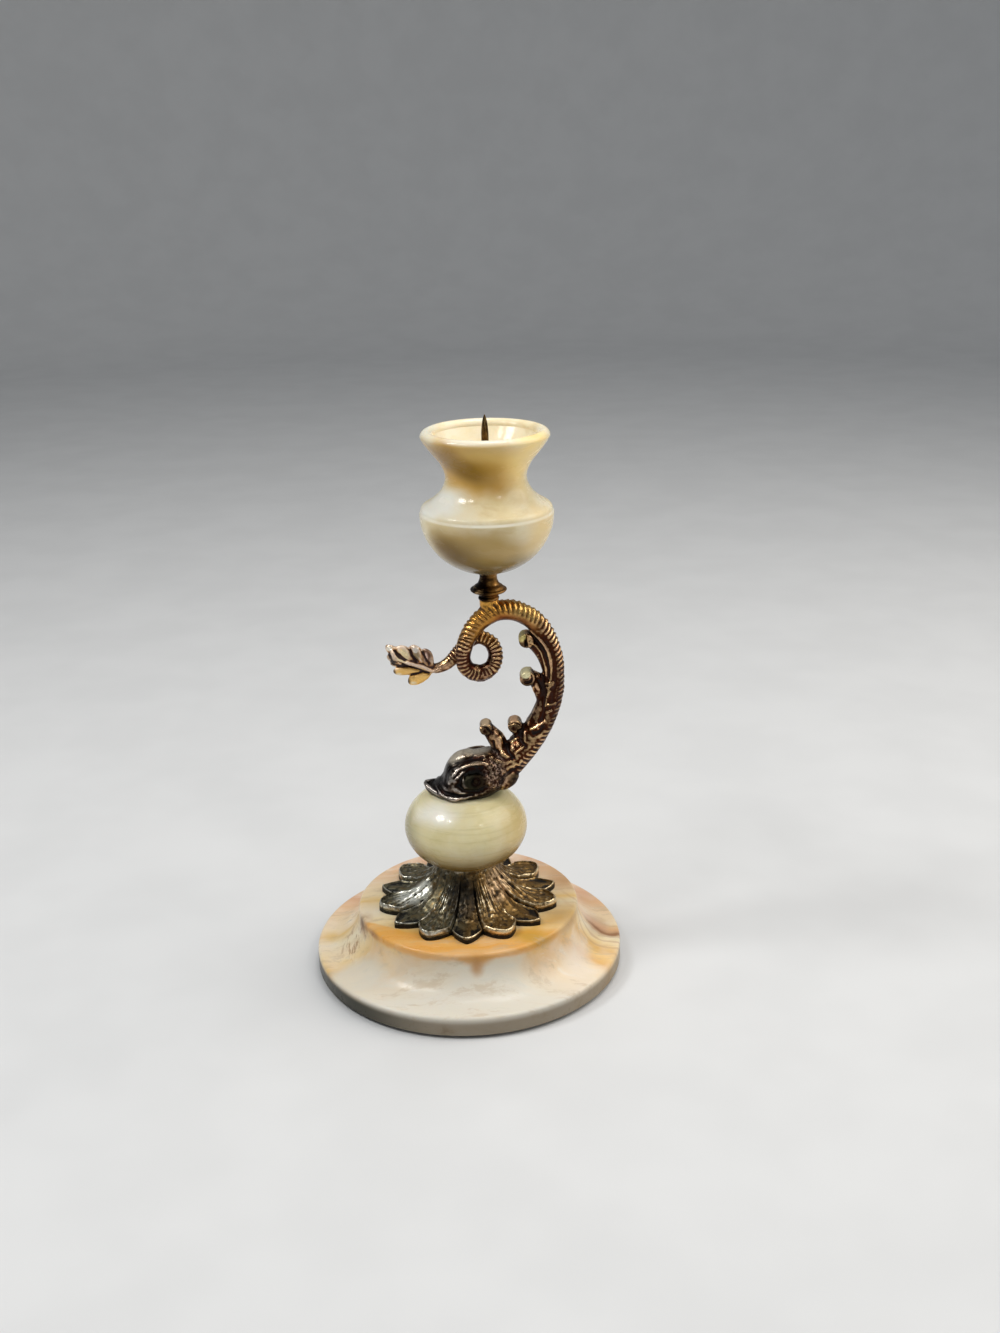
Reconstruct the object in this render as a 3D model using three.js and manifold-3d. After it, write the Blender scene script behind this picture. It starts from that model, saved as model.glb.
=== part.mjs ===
// Pricket candlestick: onyx base, ball and cup, held together by rods through
// a cast brass petal skirt and a cast brass dolphin stem.
// Millimetres, +Z up, origin at the centre of the underside.
// The front view looks along +Y, with +X to the right.

import * as THREE from 'three';
import { mergeVertices } from 'three/addons/utils/BufferGeometryUtils.js';
import Module from 'manifold-3d';

const wasm = await Module();
wasm.setup();

// Driving dimensions: felt and base
const feltDiameter = 104;
const feltThickness = 1;
const baseDiameter = 110;
const baseHeight = 21.8;
const baseRimHeight = 7;
const baseEdgeRadius = 1.1;
const plateauDiameter = 79;
const plateauLip = 1.8;
const coveFootLedge = 1.2;
const nutPocketDiameter = 26;
const nutPocketDepth = 9;

// Driving dimensions: rods, nuts and washers
const lowerRodDiameter = 6;
const lowerRodGrip = 8;
const lowerRodTail = 1.5;
const baseNutFlats = 10;
const baseNutHeight = 5;
const baseWasherDiameter = 18;
const baseWasherThickness = 1.6;
const spikeDiameter = 4;
const spikeGrip = 6.5;
const spikePinDiameter = 2.4;
const spikePointLength = 5;
const spikeAboveRim = 4.8;
const cupNutFlats = 7;
const cupNutHeight = 3;
const cupWasherDiameter = 12;
const cupWasherThickness = 0.8;
const boreClearance = 0.3;
const threadClearance = 0.15;
const rodChamfer = 0.6;

// Driving dimensions: petal skirt
const skirtHeight = 17.3;
const petalPairs = 7;
const petalTipRadius = 32.5;
const petalNotchRadius = 26.5;
const largePetalShare = 0.54;
const petalSweepPower = 3;
const petalThickness = 2.6;
const petalRimRise = 0.6;
const petalRibRise = 0.7;
const smallPetalDrop = 0.9;
const skirtNeckRadius = 8.4;
const skirtWall = 2.4;

// Driving dimensions: ball
const ballDiameter = 43.6;
const ballHeight = 25.4;
const ballPoleHeight = 31.4;

// Driving dimensions: collar and cup
const cupAxisX = 10;
const collarHeight = 10;
const collarFlangeDiameter = 12.3;
const collarNeckDiameter = 6.2;
const collarFlangeLift = 3.4;
const bossDiameter = 6.4;
const bossRise = 2.1;
const cupBowlDiameter = 44.6;
const cupBowlDepth = 20.4;
const cupFootDiameter = 12.3;
const cupShoulderHeight = 12.3;
const cupNeckDiameter = 26.9;
const cupFlareHeight = 14.9;
const cupRimDiameter = 42.5;
const cupRimThickness = 4.4;
const dishDepth = 12;
const dishFloorDiameter = 15;

// Driving dimensions: dolphin stem
const ribPitch = 2.4;
const ribDepth = 0.4;
const curlDiameter = 5.3;
const curlWidth = 6.2;
const loopHeight = 12;
const loopWidth = 11;
const loopCentreX = 6.4;
const loopCentreHeight = 50.4;
const smoothHeadLength = 33;
const eyeDiameter = 5.2;
const eyeBoss = 2.4;
const eyeX = 3.9;
const eyeReach = 9.4;
const eyeHeight = 7.5;
const leafThickness = 2.6;

// Facets
const roundSteps = 40;
const smallRoundSteps = 20;
const bodySides = 10;

// Heights of the seats, from the table up
const baseBottomZ = feltThickness;
const baseTopZ = baseBottomZ + baseHeight;
const pocketTopZ = baseBottomZ + nutPocketDepth;
const ballBottomZ = baseTopZ + skirtHeight;
const headSeatZ = ballBottomZ + ballHeight;

// Materials
const onyx = (color) => new THREE.MeshStandardMaterial({ color, roughness: 0.25, metalness: 0 });
const metal = (color, roughness) => new THREE.MeshStandardMaterial({ color, roughness, metalness: 1 });

// A closed geometry becomes a solid that can be joined and cut
function toSolid(geometry) {
  const bare = geometry.clone();
  bare.deleteAttribute('normal');
  bare.deleteAttribute('uv');
  const merged = mergeVertices(bare, 1e-4);
  return new wasm.Manifold(new wasm.Mesh({
    numProp: 3,
    vertProperties: new Float32Array(merged.attributes.position.array),
    triVerts: new Uint32Array(merged.index.array),
  }));
}

function toGeometry(solid) {
  const mesh = solid.getMesh();
  const geometry = new THREE.BufferGeometry();
  geometry.setAttribute('position', new THREE.BufferAttribute(new Float32Array(mesh.vertProperties), 3));
  geometry.setIndex(new THREE.BufferAttribute(new Uint32Array(mesh.triVerts), 1));
  geometry.computeVertexNormals();
  return geometry;
}

const join = (solids) => solids.reduce((whole, solid) => whole.add(solid));

// A profile of [radius, height] pairs turned about a vertical axis at x
function turned(profile, steps = roundSteps, axisX = 0) {
  const points = profile.map(([radius, z]) => new THREE.Vector2(radius, z));
  const geometry = new THREE.LatheGeometry(points, steps);
  geometry.rotateX(Math.PI / 2);
  geometry.translate(axisX, 0, 0);
  return geometry;
}

// Points of an elliptical arc in a profile, angles in degrees from the radius axis
function arc(centreR, centreZ, radiusR, radiusZ, from, to, steps) {
  return Array.from({ length: steps + 1 }, (_, i) => {
    const angle = THREE.MathUtils.degToRad(from + ((to - from) * i) / steps);
    return [centreR + radiusR * Math.cos(angle), centreZ + radiusZ * Math.sin(angle)];
  });
}

const closed = (profile) => [...profile, profile[0]];

// A plain cylinder from z0 to z1, used as a drill
function drill(radius, z0, z1, axisX = 0) {
  return toSolid(turned([[0, z0], [radius, z0], [radius, z1], [0, z1]], smallRoundSteps, axisX));
}

function hexNut(flats, boreRadius, z0, height, axisX = 0) {
  const corner = flats / Math.sqrt(3);
  const outline = new THREE.Shape();
  for (let side = 0; side < 6; side += 1) {
    const angle = (side * Math.PI) / 3;
    outline[side ? 'lineTo' : 'moveTo'](corner * Math.cos(angle), corner * Math.sin(angle));
  }
  outline.holes.push(new THREE.Path().absarc(0, 0, boreRadius, 0, 2 * Math.PI, true));
  const geometry = new THREE.ExtrudeGeometry(outline, { depth: height, bevelEnabled: false, curveSegments: 12 });
  geometry.translate(axisX, 0, z0);
  return geometry;
}

function washer(diameter, boreRadius, z0, thickness, axisX = 0) {
  const outer = diameter / 2;
  const z1 = z0 + thickness;
  return turned(closed([[boreRadius, z0], [outer, z0], [outer, z1], [boreRadius, z1]]), smallRoundSteps, axisX);
}

// A closed tube through rings of points, with a fan over each end
function skinRings(rings) {
  const sides = rings[0].length;
  const positions = rings.flat().flatMap((p) => [p.x, p.y, p.z]);
  const centreOf = (ring) => ring.reduce((sum, p) => sum.add(p), new THREE.Vector3()).divideScalar(sides);
  const faces = [];
  for (let i = 0; i + 1 < rings.length; i += 1) {
    for (let j = 0; j < sides; j += 1) {
      const a = i * sides + j;
      const b = i * sides + ((j + 1) % sides);
      faces.push(a, b, a + sides, b, b + sides, a + sides);
    }
  }
  const first = rings.length * sides;
  const lastRing = first - sides;
  positions.push(...centreOf(rings[0]).toArray(), ...centreOf(rings[rings.length - 1]).toArray());
  for (let j = 0; j < sides; j += 1) {
    const next = (j + 1) % sides;
    faces.push(first, next, j, first + 1, lastRing + j, lastRing + next);
  }
  const geometry = new THREE.BufferGeometry();
  geometry.setAttribute('position', new THREE.Float32BufferAttribute(positions, 3));
  geometry.setIndex(faces);
  return geometry;
}

// Sections along a curve. Each station is [x, y, z, half height in the plane, half width across it],
// and each ring has its share of the way and whether it is a crest.
// swell(ring, angle) gives a factor for the section, with angle 0 on the outer side.
function sweep(stations, rings, sides, swell = () => 1) {
  const route = routeOf(stations);
  const sizes = new THREE.CatmullRomCurve3(stations.map(([, , , half, wide]) => new THREE.Vector3(half, wide, 0)));
  return skinRings(rings.map((ring) => {
    const t = route.getUtoTmapping(ring.share);
    const centre = route.getPoint(t);
    const size = sizes.getPoint(t);
    const along = route.getTangent(t);
    const outward = new THREE.Vector3(along.z, 0, -along.x).normalize();
    const across = new THREE.Vector3().crossVectors(along, outward).normalize();
    return Array.from({ length: sides }, (_, side) => {
      const angle = (2 * Math.PI * side) / sides;
      const factor = swell(ring, angle);
      return centre.clone()
        .addScaledVector(outward, size.x * factor * Math.cos(angle))
        .addScaledVector(across, size.y * factor * Math.sin(angle));
    });
  }));
}

function routeOf(stations) {
  const route = new THREE.CatmullRomCurve3(stations.map(([x, y, z]) => new THREE.Vector3(x, y, z)));
  route.arcLengthDivisions = 800;
  return route;
}

const evenRings = (count) => Array.from({ length: count }, (_, i) => ({ share: i / (count - 1), crest: 0 }));

// A few rings over the smooth start, then a valley and a crest for each rib
function ribbedRings(stations, smoothLength, smoothRings) {
  const length = routeOf(stations).getLength();
  const ribs = Math.round((length - smoothLength) / ribPitch);
  const start = smoothLength / length;
  const smooth = Array.from({ length: smoothRings }, (_, i) => ({ share: (start * i) / smoothRings, crest: 0 }));
  const ribbed = Array.from({ length: 2 * ribs + 1 }, (_, i) => (
    { share: start + ((1 - start) * i) / (2 * ribs), crest: i % 2 }));
  return [...smooth, ...ribbed];
}

// An ellipsoid from its root to its tip in the XZ plane, at depth y
function lobe([rootX, rootZ], [tipX, tipZ], halfWidth, halfDepth, y = 0, sides = 8) {
  const length = Math.hypot(tipX - rootX, tipZ - rootZ);
  const geometry = new THREE.SphereGeometry(1, sides, sides * 0.75);
  geometry.scale(halfWidth, halfDepth, length / 2);
  geometry.rotateY(Math.atan2(tipX - rootX, tipZ - rootZ));
  geometry.translate((rootX + tipX) / 2, y, (rootZ + tipZ) / 2);
  return geometry;
}

// Felt disc, flush under the stone
function feltPad() {
  const radius = feltDiameter / 2;
  return turned([[0, 0], [radius, 0], [radius, feltThickness], [0, feltThickness]]);
}

// Base: upright rim with eased edges, concave cove, flat plateau, bore and nut pocket
function marbleBase() {
  const outer = baseDiameter / 2;
  const plateau = plateauDiameter / 2;
  const bore = lowerRodDiameter / 2 + boreClearance;
  const pocket = nutPocketDiameter / 2;
  const rimTopZ = baseBottomZ + baseRimHeight;
  const coveFoot = outer - baseEdgeRadius - coveFootLedge;
  const edge = arc(outer - baseEdgeRadius, rimTopZ - baseEdgeRadius, baseEdgeRadius, baseEdgeRadius, 0, 90, 3);
  const coveHeight = baseTopZ - plateauLip - rimTopZ;
  const cove = arc(coveFoot, baseTopZ - plateauLip, coveFoot - plateau, coveHeight, 270, 180, 7);
  const lip = arc(plateau - baseEdgeRadius, baseTopZ - baseEdgeRadius, baseEdgeRadius, baseEdgeRadius, 0, 90, 3);
  return turned(closed([
    [pocket, baseBottomZ], [outer, baseBottomZ], ...edge, ...cove, ...lip,
    [bore, baseTopZ], [bore, pocketTopZ], [pocket, pocketTopZ],
  ]));
}

// Petals in turn small and large, with raised edges and middle ribs, rising to a hollow neck.
// A petal's lines run from the notch before it: place across the half sector, reach from notch to tip,
// and rise of the surface along the line.
function leafSkirt() {
  const bore = lowerRodDiameter / 2 + boreClearance;
  const pairSector = (2 * Math.PI) / petalPairs;
  const topZ = baseTopZ + skirtHeight;
  const reachLength = petalTipRadius - petalNotchRadius;
  const hollowFoot = petalNotchRadius - 3 * skirtWall;
  const hollowNeck = skirtNeckRadius - skirtWall;
  const large = { centre: 0.5, sector: largePetalShare * pairSector, drop: 0, lines: [
    [-1, 0, -smallPetalDrop], [-0.78, 0.35, petalRimRise], [-0.42, 0.77, 0],
    [0, 1, petalRibRise], [0.42, 0.77, 0], [0.78, 0.35, petalRimRise],
  ] };
  const small = { centre: 0, sector: (1 - largePetalShare) * pairSector, drop: smallPetalDrop, lines: [
    [-1, 0, 0], [-0.55, 0.55, 0], [0, 1, petalRibRise], [0.55, 0.55, 0],
  ] };
  const loops = [];
  for (let pair = 0; pair < petalPairs; pair += 1) {
    for (const { centre, sector, drop, lines } of [small, large]) {
      for (const [place, reach, rise] of lines) {
        const angle = (pair + centre) * pairSector + (place * sector) / 2 - Math.PI / 2;
        const outline = petalNotchRadius + reachLength * reach;
        const surface = (share) => {
          const slope = petalThickness + (skirtHeight - petalThickness) * share ** petalSweepPower;
          const relief = (share < 0.1 && reach > 0 ? petalRimRise : rise) * Math.min(1, 3 * (1 - share));
          return [outline + (skirtNeckRadius - outline) * share, baseTopZ + slope + relief - drop * (1 - share)];
        };
        const profile = [
          [outline, baseTopZ], ...[0, 0.06, 0.15, 0.38, 0.6, 0.82].map(surface),
          [skirtNeckRadius, topZ - 0.6], [skirtNeckRadius - 0.6, topZ], [bore, topZ],
          [bore, topZ - 2 * skirtWall], [hollowNeck, topZ - 2 * skirtWall],
          [(hollowNeck + hollowFoot) / 2, baseTopZ + skirtHeight * 0.25], [hollowFoot, baseTopZ],
        ];
        loops.push(profile.map(([r, z]) => new THREE.Vector3(r * Math.cos(angle), r * Math.sin(angle), z)));
      }
    }
  }
  return ringOfLoops(loops);
}

// Joins closed loops, one behind the other round a circle, into one closed skin
function ringOfLoops(loops) {
  const size = loops[0].length;
  const positions = loops.flat().flatMap((p) => [p.x, p.y, p.z]);
  const faces = [];
  loops.forEach((_, i) => {
    const here = i * size;
    const next = ((i + 1) % loops.length) * size;
    for (let j = 0; j < size; j += 1) {
      const k = (j + 1) % size;
      faces.push(here + j, next + j, here + k, next + j, next + k, here + k);
    }
  });
  const geometry = new THREE.BufferGeometry();
  geometry.setAttribute('position', new THREE.Float32BufferAttribute(positions, 3));
  geometry.setIndex(faces);
  return geometry;
}

// Oblate ball, faced flat at both poles and bored through
function onyxBall() {
  const bore = lowerRodDiameter / 2 + boreClearance;
  const pole = ballPoleHeight / 2;
  const cut = THREE.MathUtils.radToDeg(Math.asin(Math.min(0.98, ballHeight / 2 / pole)));
  const middle = ballBottomZ + ballHeight / 2;
  const flank = arc(0, middle, ballDiameter / 2, pole, -cut, cut, 11);
  return turned(closed([[bore, ballBottomZ], ...flank, [bore, headSeatZ]]));
}

// A station on the tail's loop, an ellipse in the plane, at an angle in degrees from +X
function onLoop(degrees, y, half, wide) {
  const angle = THREE.MathUtils.degToRad(degrees);
  const x = loopCentreX + (loopWidth / 2) * Math.cos(angle);
  return [x, y, loopCentreHeight + (loopHeight / 2) * Math.sin(angle), half, wide];
}

// The dolphin's route, from the upper lip through head and back to the bottom of the tail's loop.
// Each station is [x, y, height above the head's seat, half height, half width].
const bodyStations = [
  [-14.2, 0, 3.9, 0.5, 1.5], [-12.5, 0, 1.7, 1.1, 3.4], [-9.6, 0, 1.9, 2.1, 5.4], [-6.6, 0, 3, 3.1, 8],
  [-1.6, 0, 5.2, 8.1, 10.3], [4, 0, 6.4, 8.9, 10], [9.6, 0, 8.6, 8, 8.8], [14.8, 0, 11.3, 6.4, 7.2],
  [18.6, 0, 14.5, 5.5, 6.2], [22.6, 0, 18.9, 4.9, 5.6], [27.2, 0, 26.1, 4.5, 5], [30.3, 0, 35, 4.1, 4.6],
  [31.5, 0, 43, 3.8, 4.2], [30.7, 0, 51.5, 3.6, 4], [27.3, 0, 60, 3.5, 3.8], [23.4, 0, 64.1, 3.4, 3.7],
  [18.4, 0, 66.6, 3.4, 3.7], [12.4, -0.2, 66.5, 3.35, 3.6], [7.3, -0.6, 63.6, 3.2, 3.4],
  [3.5, -1.2, 59.2, 3, 3.1], [1.5, -1.6, 54.4, 2.65, 2.9],
  onLoop(180, -1.6, 2.5, 2.8), onLoop(225, -1.2, 2.7, 2.8), onLoop(270, -0.6, 2.9, 2.8),
];

// The tail goes on from there, round the loop, behind the body and out to the leaf
const tailStations = [
  onLoop(250, -0.8, 2.2, 2.2), onLoop(270, -0.6, 2.8, 2.7), onLoop(315, 0.2, 2.75, 2.7),
  onLoop(360, 1.1, 2.55, 2.6), onLoop(405, 1.9, 2.4, 2.5), onLoop(450, 2.6, 2.3, 2.4),
  [3.2, 3, 55, 2.3, 2.4], [-0.6, 2.7, 51.4, 2.3, 2.3], [-4, 1.7, 47.9, 2.1, 2.1],
  [-8, 0.8, 46.2, 1.8, 1.9], [-11, 0.4, 46.1, 1.5, 1.6],
];

// Lobes of the back fin, each a stem that leaves the body's inner side and ends in a rolled curl
const finLobes = [
  { curl: curlDiameter, stem: [[30, 0, 44, 2, 2.8], [28.2, 0, 50.4, 2.5, 2.7], [25.6, 0, 54.6, 2.7, 2.6],
    [22.5, 0, 56.3, 2.5, 2.5]] },
  { curl: curlDiameter, stem: [[28.4, 0, 31, 2.2, 2.6], [27.6, 0, 38, 3, 2.7], [25.6, 0, 41.4, 2.9, 2.6],
    [22.6, 0, 42.7, 2.4, 2.5]] },
  { curl: 0.95 * curlDiameter, stem: [[21.5, 0, 17.5, 2.6, 3.2], [19.8, 0, 22.2, 2.7, 3], [18, 0, 25.1, 2.4, 2.6]] },
  { curl: 0.85 * curlDiameter, stem: [[14.5, 0, 13, 2.8, 3.4], [11.7, 0, 19.4, 3, 3.2], [9.8, 0, 22.2, 2.6, 3],
    [7.9, 0, 24.3, 2.2, 2.7]] },
];

// The tail's leaf: a middle rib, and lobes as [root, tip, half width] in [x, height above the head's seat]
const leafMidrib = [
  [-8, 0.8, 46.1, 1.6, 1.7], [-11, 0.2, 46.1, 1.3, 1.7], [-14, -0.4, 47.5, 1.2, 1.7],
  [-19, -0.6, 49.5, 1, 1.6], [-22.4, -0.5, 52.1, 0.8, 1.4], [-25, -0.2, 55.1, 0.5, 0.9],
];
const leafLobes = [
  [[-18, 48.7], [-25.9, 55.7], 2.1], [[-16.6, 47.7], [-21.4, 55], 2.6], [[-13.6, 46.7], [-16.9, 55.5], 2.3],
  [[-11, 45.7], [-11.6, 54], 2.2], [[-17, 49.7], [-25.8, 48.6], 2.6], [[-11.5, 47.2], [-24.3, 44.6], 2.3],
  [[-10, 46], [-18.6, 40.3], 2.6],
];

// Body with ribs over its belly, and on the way up the back a groove and a ridge beside the fin
function ribbedBody() {
  const rings = ribbedRings(bodyStations, smoothHeadLength, 10);
  return sweep(bodyStations, rings, bodySides, ({ share, crest }, angle) => {
    const belly = 0.6 + 0.4 * Math.cos(angle);
    const beside = share > 0.2 && share < 0.62 ? -0.09 * Math.cos(6 * angle) * (1 - Math.cos(angle)) / 2 : 0;
    return 1 + (ribDepth / 4) * crest * belly + beside;
  });
}

function ribbedTail() {
  const rings = ribbedRings(tailStations, 0.1, 1);
  return sweep(tailStations, rings, 8, ({ crest }) => 1 + (ribDepth / 3) * crest);
}

function finLobe({ curl, stem }) {
  const [x, y, z] = stem[stem.length - 1];
  const roll = new THREE.CylinderGeometry(curl / 2, curl / 2, curlWidth, 12);
  roll.translate(x, y, z);
  return [sweep(stem, evenRings(7), 8), roll];
}

// The high round forehead over the snout, and the gill cover of one side behind the eye
const foreheadForm = { root: [-6.5, 8], tip: [9.5, 8.4], halfWidth: 7.6, halfDepth: 7.4 };
const gillForm = { root: [8, 5], tip: [18.8, 9.8], halfWidth: 5, halfDepth: 3.2, reach: 4.4 };

function forehead() {
  const { root, tip, halfWidth, halfDepth } = foreheadForm;
  return lobe(root, tip, halfWidth, halfDepth, 0, 16);
}

function gillCover(side) {
  const { root, tip, halfWidth, halfDepth, reach } = gillForm;
  return lobe(root, tip, halfWidth, halfDepth, side * reach);
}

// Brow, eye, gill cover and lip of one side of the head
function headSide(side) {
  const brow = sweep([
    [-5.2, side * 5, 6.6, 0.7, 0.8], [-2.7, side * 6.3, 9.8, 1.1, 1.2], [0.8, side * 6.6, 12, 1.2, 1.3],
    [5.6, side * 6.6, 13.2, 1.1, 1.2], [10, side * 6.2, 12.4, 0.8, 0.9],
  ], evenRings(8), 6);
  const eye = new THREE.CylinderGeometry(eyeDiameter / 2 - 0.7, eyeDiameter / 2, eyeBoss, 12);
  eye.rotateX(side < 0 ? Math.PI : 0);
  eye.translate(eyeX, side * eyeReach, eyeHeight);
  const lip = sweep([
    [-13.6, side * 1.4, 3.4, 0.7, 0.8], [-10.8, side * 4.2, 2.2, 0.9, 1], [-7.6, side * 6.8, 1.7, 1, 1.1],
    [-3.5, side * 9, 1.6, 0.9, 1], [0, side * 8.9, 1.7, 0.8, 0.8], [3.5, side * 8, 1.9, 0.5, 0.5],
  ], evenRings(8), 6);
  return [brow, eye, gillCover(side), lip];
}

// Height of the body's outer side above the head's seat at the cup's axis, where the collar stands
function archTop() {
  const route = routeOf(bodyStations);
  const halves = new THREE.CatmullRomCurve3(bodyStations.map(([, , , half]) => new THREE.Vector3(half, 0, 0)));
  let best = { miss: Infinity, top: 0 };
  for (let share = 0.5; share < 0.9; share += 0.002) {
    const t = route.getUtoTmapping(share);
    const point = route.getPoint(t);
    const miss = Math.abs(point.x - cupAxisX);
    if (miss < best.miss) best = { miss, top: point.z + halves.getPoint(t).x };
  }
  return best.top;
}
const bossTopZ = headSeatZ + archTop() + bossRise;

// The whole stem in one casting: cut flat on its seat, drilled for the lower rod and the spike
function dolphinCasting() {
  const forms = [
    ribbedBody(), ribbedTail(), ...finLobes.flatMap(finLobe), forehead(), ...headSide(-1), ...headSide(1),
    sweep(leafMidrib, evenRings(9), 6),
    ...leafLobes.map(([root, tip, halfWidth]) => lobe(root, tip, halfWidth, leafThickness / 2)),
  ];
  forms.forEach((form) => form.translate(0, 0, headSeatZ));
  const boss = drill(bossDiameter / 2, bossTopZ - 3, bossTopZ, cupAxisX);
  const below = new THREE.BoxGeometry(baseDiameter, baseDiameter, ballHeight);
  below.translate(0, 0, headSeatZ - ballHeight / 2);
  return toGeometry(join([...forms.map(toSolid), boss])
    .subtract(toSolid(below))
    .subtract(drill(lowerRodDiameter / 2 + boreClearance, headSeatZ - 1, headSeatZ + lowerRodGrip + boreClearance))
    .subtract(drill(spikeDiameter / 2 + boreClearance, bossTopZ - spikeGrip - boreClearance, bossTopZ + 1, cupAxisX)));
}

// Heights above the stem
const cupBottomZ = bossTopZ + collarHeight;
const cupRidgeZ = cupBottomZ + cupBowlDepth;
const cupNeckZ = cupRidgeZ + cupShoulderHeight;
const cupRimZ = cupNeckZ + cupFlareHeight;
const dishFloorZ = cupRimZ - dishDepth;
const cupNutZ = dishFloorZ + cupWasherThickness;

// Turned spool: neck, sharp flange, neck
function turnedCollar() {
  const bore = spikeDiameter / 2 + boreClearance;
  const neck = collarNeckDiameter / 2;
  const flange = collarFlangeDiameter / 2;
  const flangeZ = bossTopZ + collarFlangeLift;
  return turned(closed([
    [bore, bossTopZ], [neck, bossTopZ], [neck, bossTopZ + 0.9], [neck + 0.4, flangeZ - 1.7],
    [flange - 0.9, flangeZ - 0.8], [flange, flangeZ - 0.2], [flange, flangeZ + 0.4], [neck + 1.5, flangeZ + 1.8],
    [neck + 0.3, flangeZ + 2.7], [neck - 0.2, cupBottomZ - 1.2], [neck + 0.4, cupBottomZ], [bore, cupBottomZ],
  ]), smallRoundSteps, cupAxisX);
}

// Bowl, ridge, shoulder, neck, flare and rounded rim outside, open dish inside, bored through
function onyxCup() {
  const bore = spikeDiameter / 2 + boreClearance;
  const bowl = cupBowlDiameter / 2;
  const neck = cupNeckDiameter / 2;
  const rim = cupRimDiameter / 2;
  const rimRadius = cupRimThickness / 2;
  const bowlPole = cupBowlDepth / Math.sqrt(1 - (cupFootDiameter / cupBowlDiameter) ** 2);
  const footAngle = THREE.MathUtils.radToDeg(Math.acos(cupFootDiameter / cupBowlDiameter));
  const dishEdge = rim - cupRimThickness;
  const dishFloor = dishFloorDiameter / 2;
  // Shares of the way in from bowl to neck and out from neck to rim, against shares of the height
  const shoulder = [[0.04, 0.05], [0.12, 0.18], [0.44, 0.33], [0.76, 0.53], [0.95, 0.77], [1, 1]];
  const flare = [[0.19, 0.26], [0.585, 0.53], [0.88, 0.74]];
  return turned(closed([
    [bore, cupBottomZ],
    ...arc(0, cupRidgeZ, bowl, bowlPole, -footAngle, 0, 7),
    ...shoulder.map(([inward, up]) => [bowl - (bowl - neck) * inward, cupRidgeZ + cupShoulderHeight * up]),
    ...flare.map(([outward, up]) => [neck + (rim - neck) * outward, cupNeckZ + cupFlareHeight * up]),
    ...arc(rim - rimRadius, cupRimZ - rimRadius, rimRadius, rimRadius, 0, 180, 4),
    [dishFloor + (dishEdge - dishFloor) * 0.62, dishFloorZ + dishDepth * 0.42],
    [dishFloor + (dishEdge - dishFloor) * 0.15, dishFloorZ + dishDepth * 0.08],
    [dishFloor, dishFloorZ], [bore, dishFloorZ],
  ]), roundSteps, cupAxisX);
}

function lowerRod() {
  const radius = lowerRodDiameter / 2;
  const bottom = pocketTopZ - baseWasherThickness - baseNutHeight - lowerRodTail;
  const top = headSeatZ + lowerRodGrip;
  return turned([[0, bottom], [radius - rodChamfer, bottom], [radius, bottom + rodChamfer],
    [radius, top - rodChamfer], [radius - rodChamfer, top], [0, top]], smallRoundSteps);
}

// Threaded shank up through the nut, then a thinner pin with a long point
function pricketSpike() {
  const shank = spikeDiameter / 2;
  const pin = spikePinDiameter / 2;
  const bottom = bossTopZ - spikeGrip;
  const shoulder = cupNutZ + cupNutHeight + 2 * rodChamfer;
  const tip = cupRimZ + spikeAboveRim;
  return turned([[0, bottom], [shank - rodChamfer, bottom], [shank, bottom + rodChamfer],
    [shank, shoulder - rodChamfer], [pin, shoulder], [pin, tip - spikePointLength],
    [pin * 0.68, tip - spikePointLength * 0.48], [0, tip]], smallRoundSteps, cupAxisX);
}

// Assembly
const rodBore = lowerRodDiameter / 2 + threadClearance;
const spikeBore = spikeDiameter / 2 + threadClearance;
const baseWasherZ = pocketTopZ - baseWasherThickness;
const pieces = [
  ['felt_pad', feltPad(), new THREE.MeshStandardMaterial({ color: 0x3c4a3a, roughness: 1, metalness: 0 })],
  ['marble_base', marbleBase(), onyx(0xe2d3b8)],
  ['base_washer', washer(baseWasherDiameter, rodBore, baseWasherZ, baseWasherThickness), metal(0xb9b9b4, 0.4)],
  ['base_nut', hexNut(baseNutFlats, rodBore, baseWasherZ - baseNutHeight, baseNutHeight), metal(0xb9b9b4, 0.4)],
  ['lower_rod', lowerRod(), metal(0xa9a9a4, 0.45)],
  ['leaf_skirt', leafSkirt(), metal(0x4b4334, 0.42)],
  ['onyx_ball', onyxBall(), onyx(0xd9d2a8)],
  ['dolphin_casting', dolphinCasting(), metal(0x6a4c26, 0.42)],
  ['turned_collar', turnedCollar(), metal(0x6e5430, 0.38)],
  ['onyx_cup', onyxCup(), onyx(0xe9ddc0)],
  ['cup_washer', washer(cupWasherDiameter, spikeBore, dishFloorZ, cupWasherThickness, cupAxisX), metal(0x8a7a50, 0.4)],
  ['cup_nut', hexNut(cupNutFlats, spikeBore, cupNutZ, cupNutHeight, cupAxisX), metal(0x8a7a50, 0.4)],
  ['pricket_spike', pricketSpike(), metal(0x6b5a3c, 0.4)],
];

const candlestick = new THREE.Group();
for (const [name, geometry, material] of pieces) {
  const mesh = new THREE.Mesh(geometry, material);
  mesh.name = name;
  candlestick.add(mesh);
}

export default candlestick;
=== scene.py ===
"""Pricket candlestick: onyx base, ball and cup, joined by a cast brass petal skirt and a dolphin stem."""

import math

import bmesh
import bpy
import numpy as np
from mathutils import Matrix, Vector, noise
from mathutils.kdtree import KDTree


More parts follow.
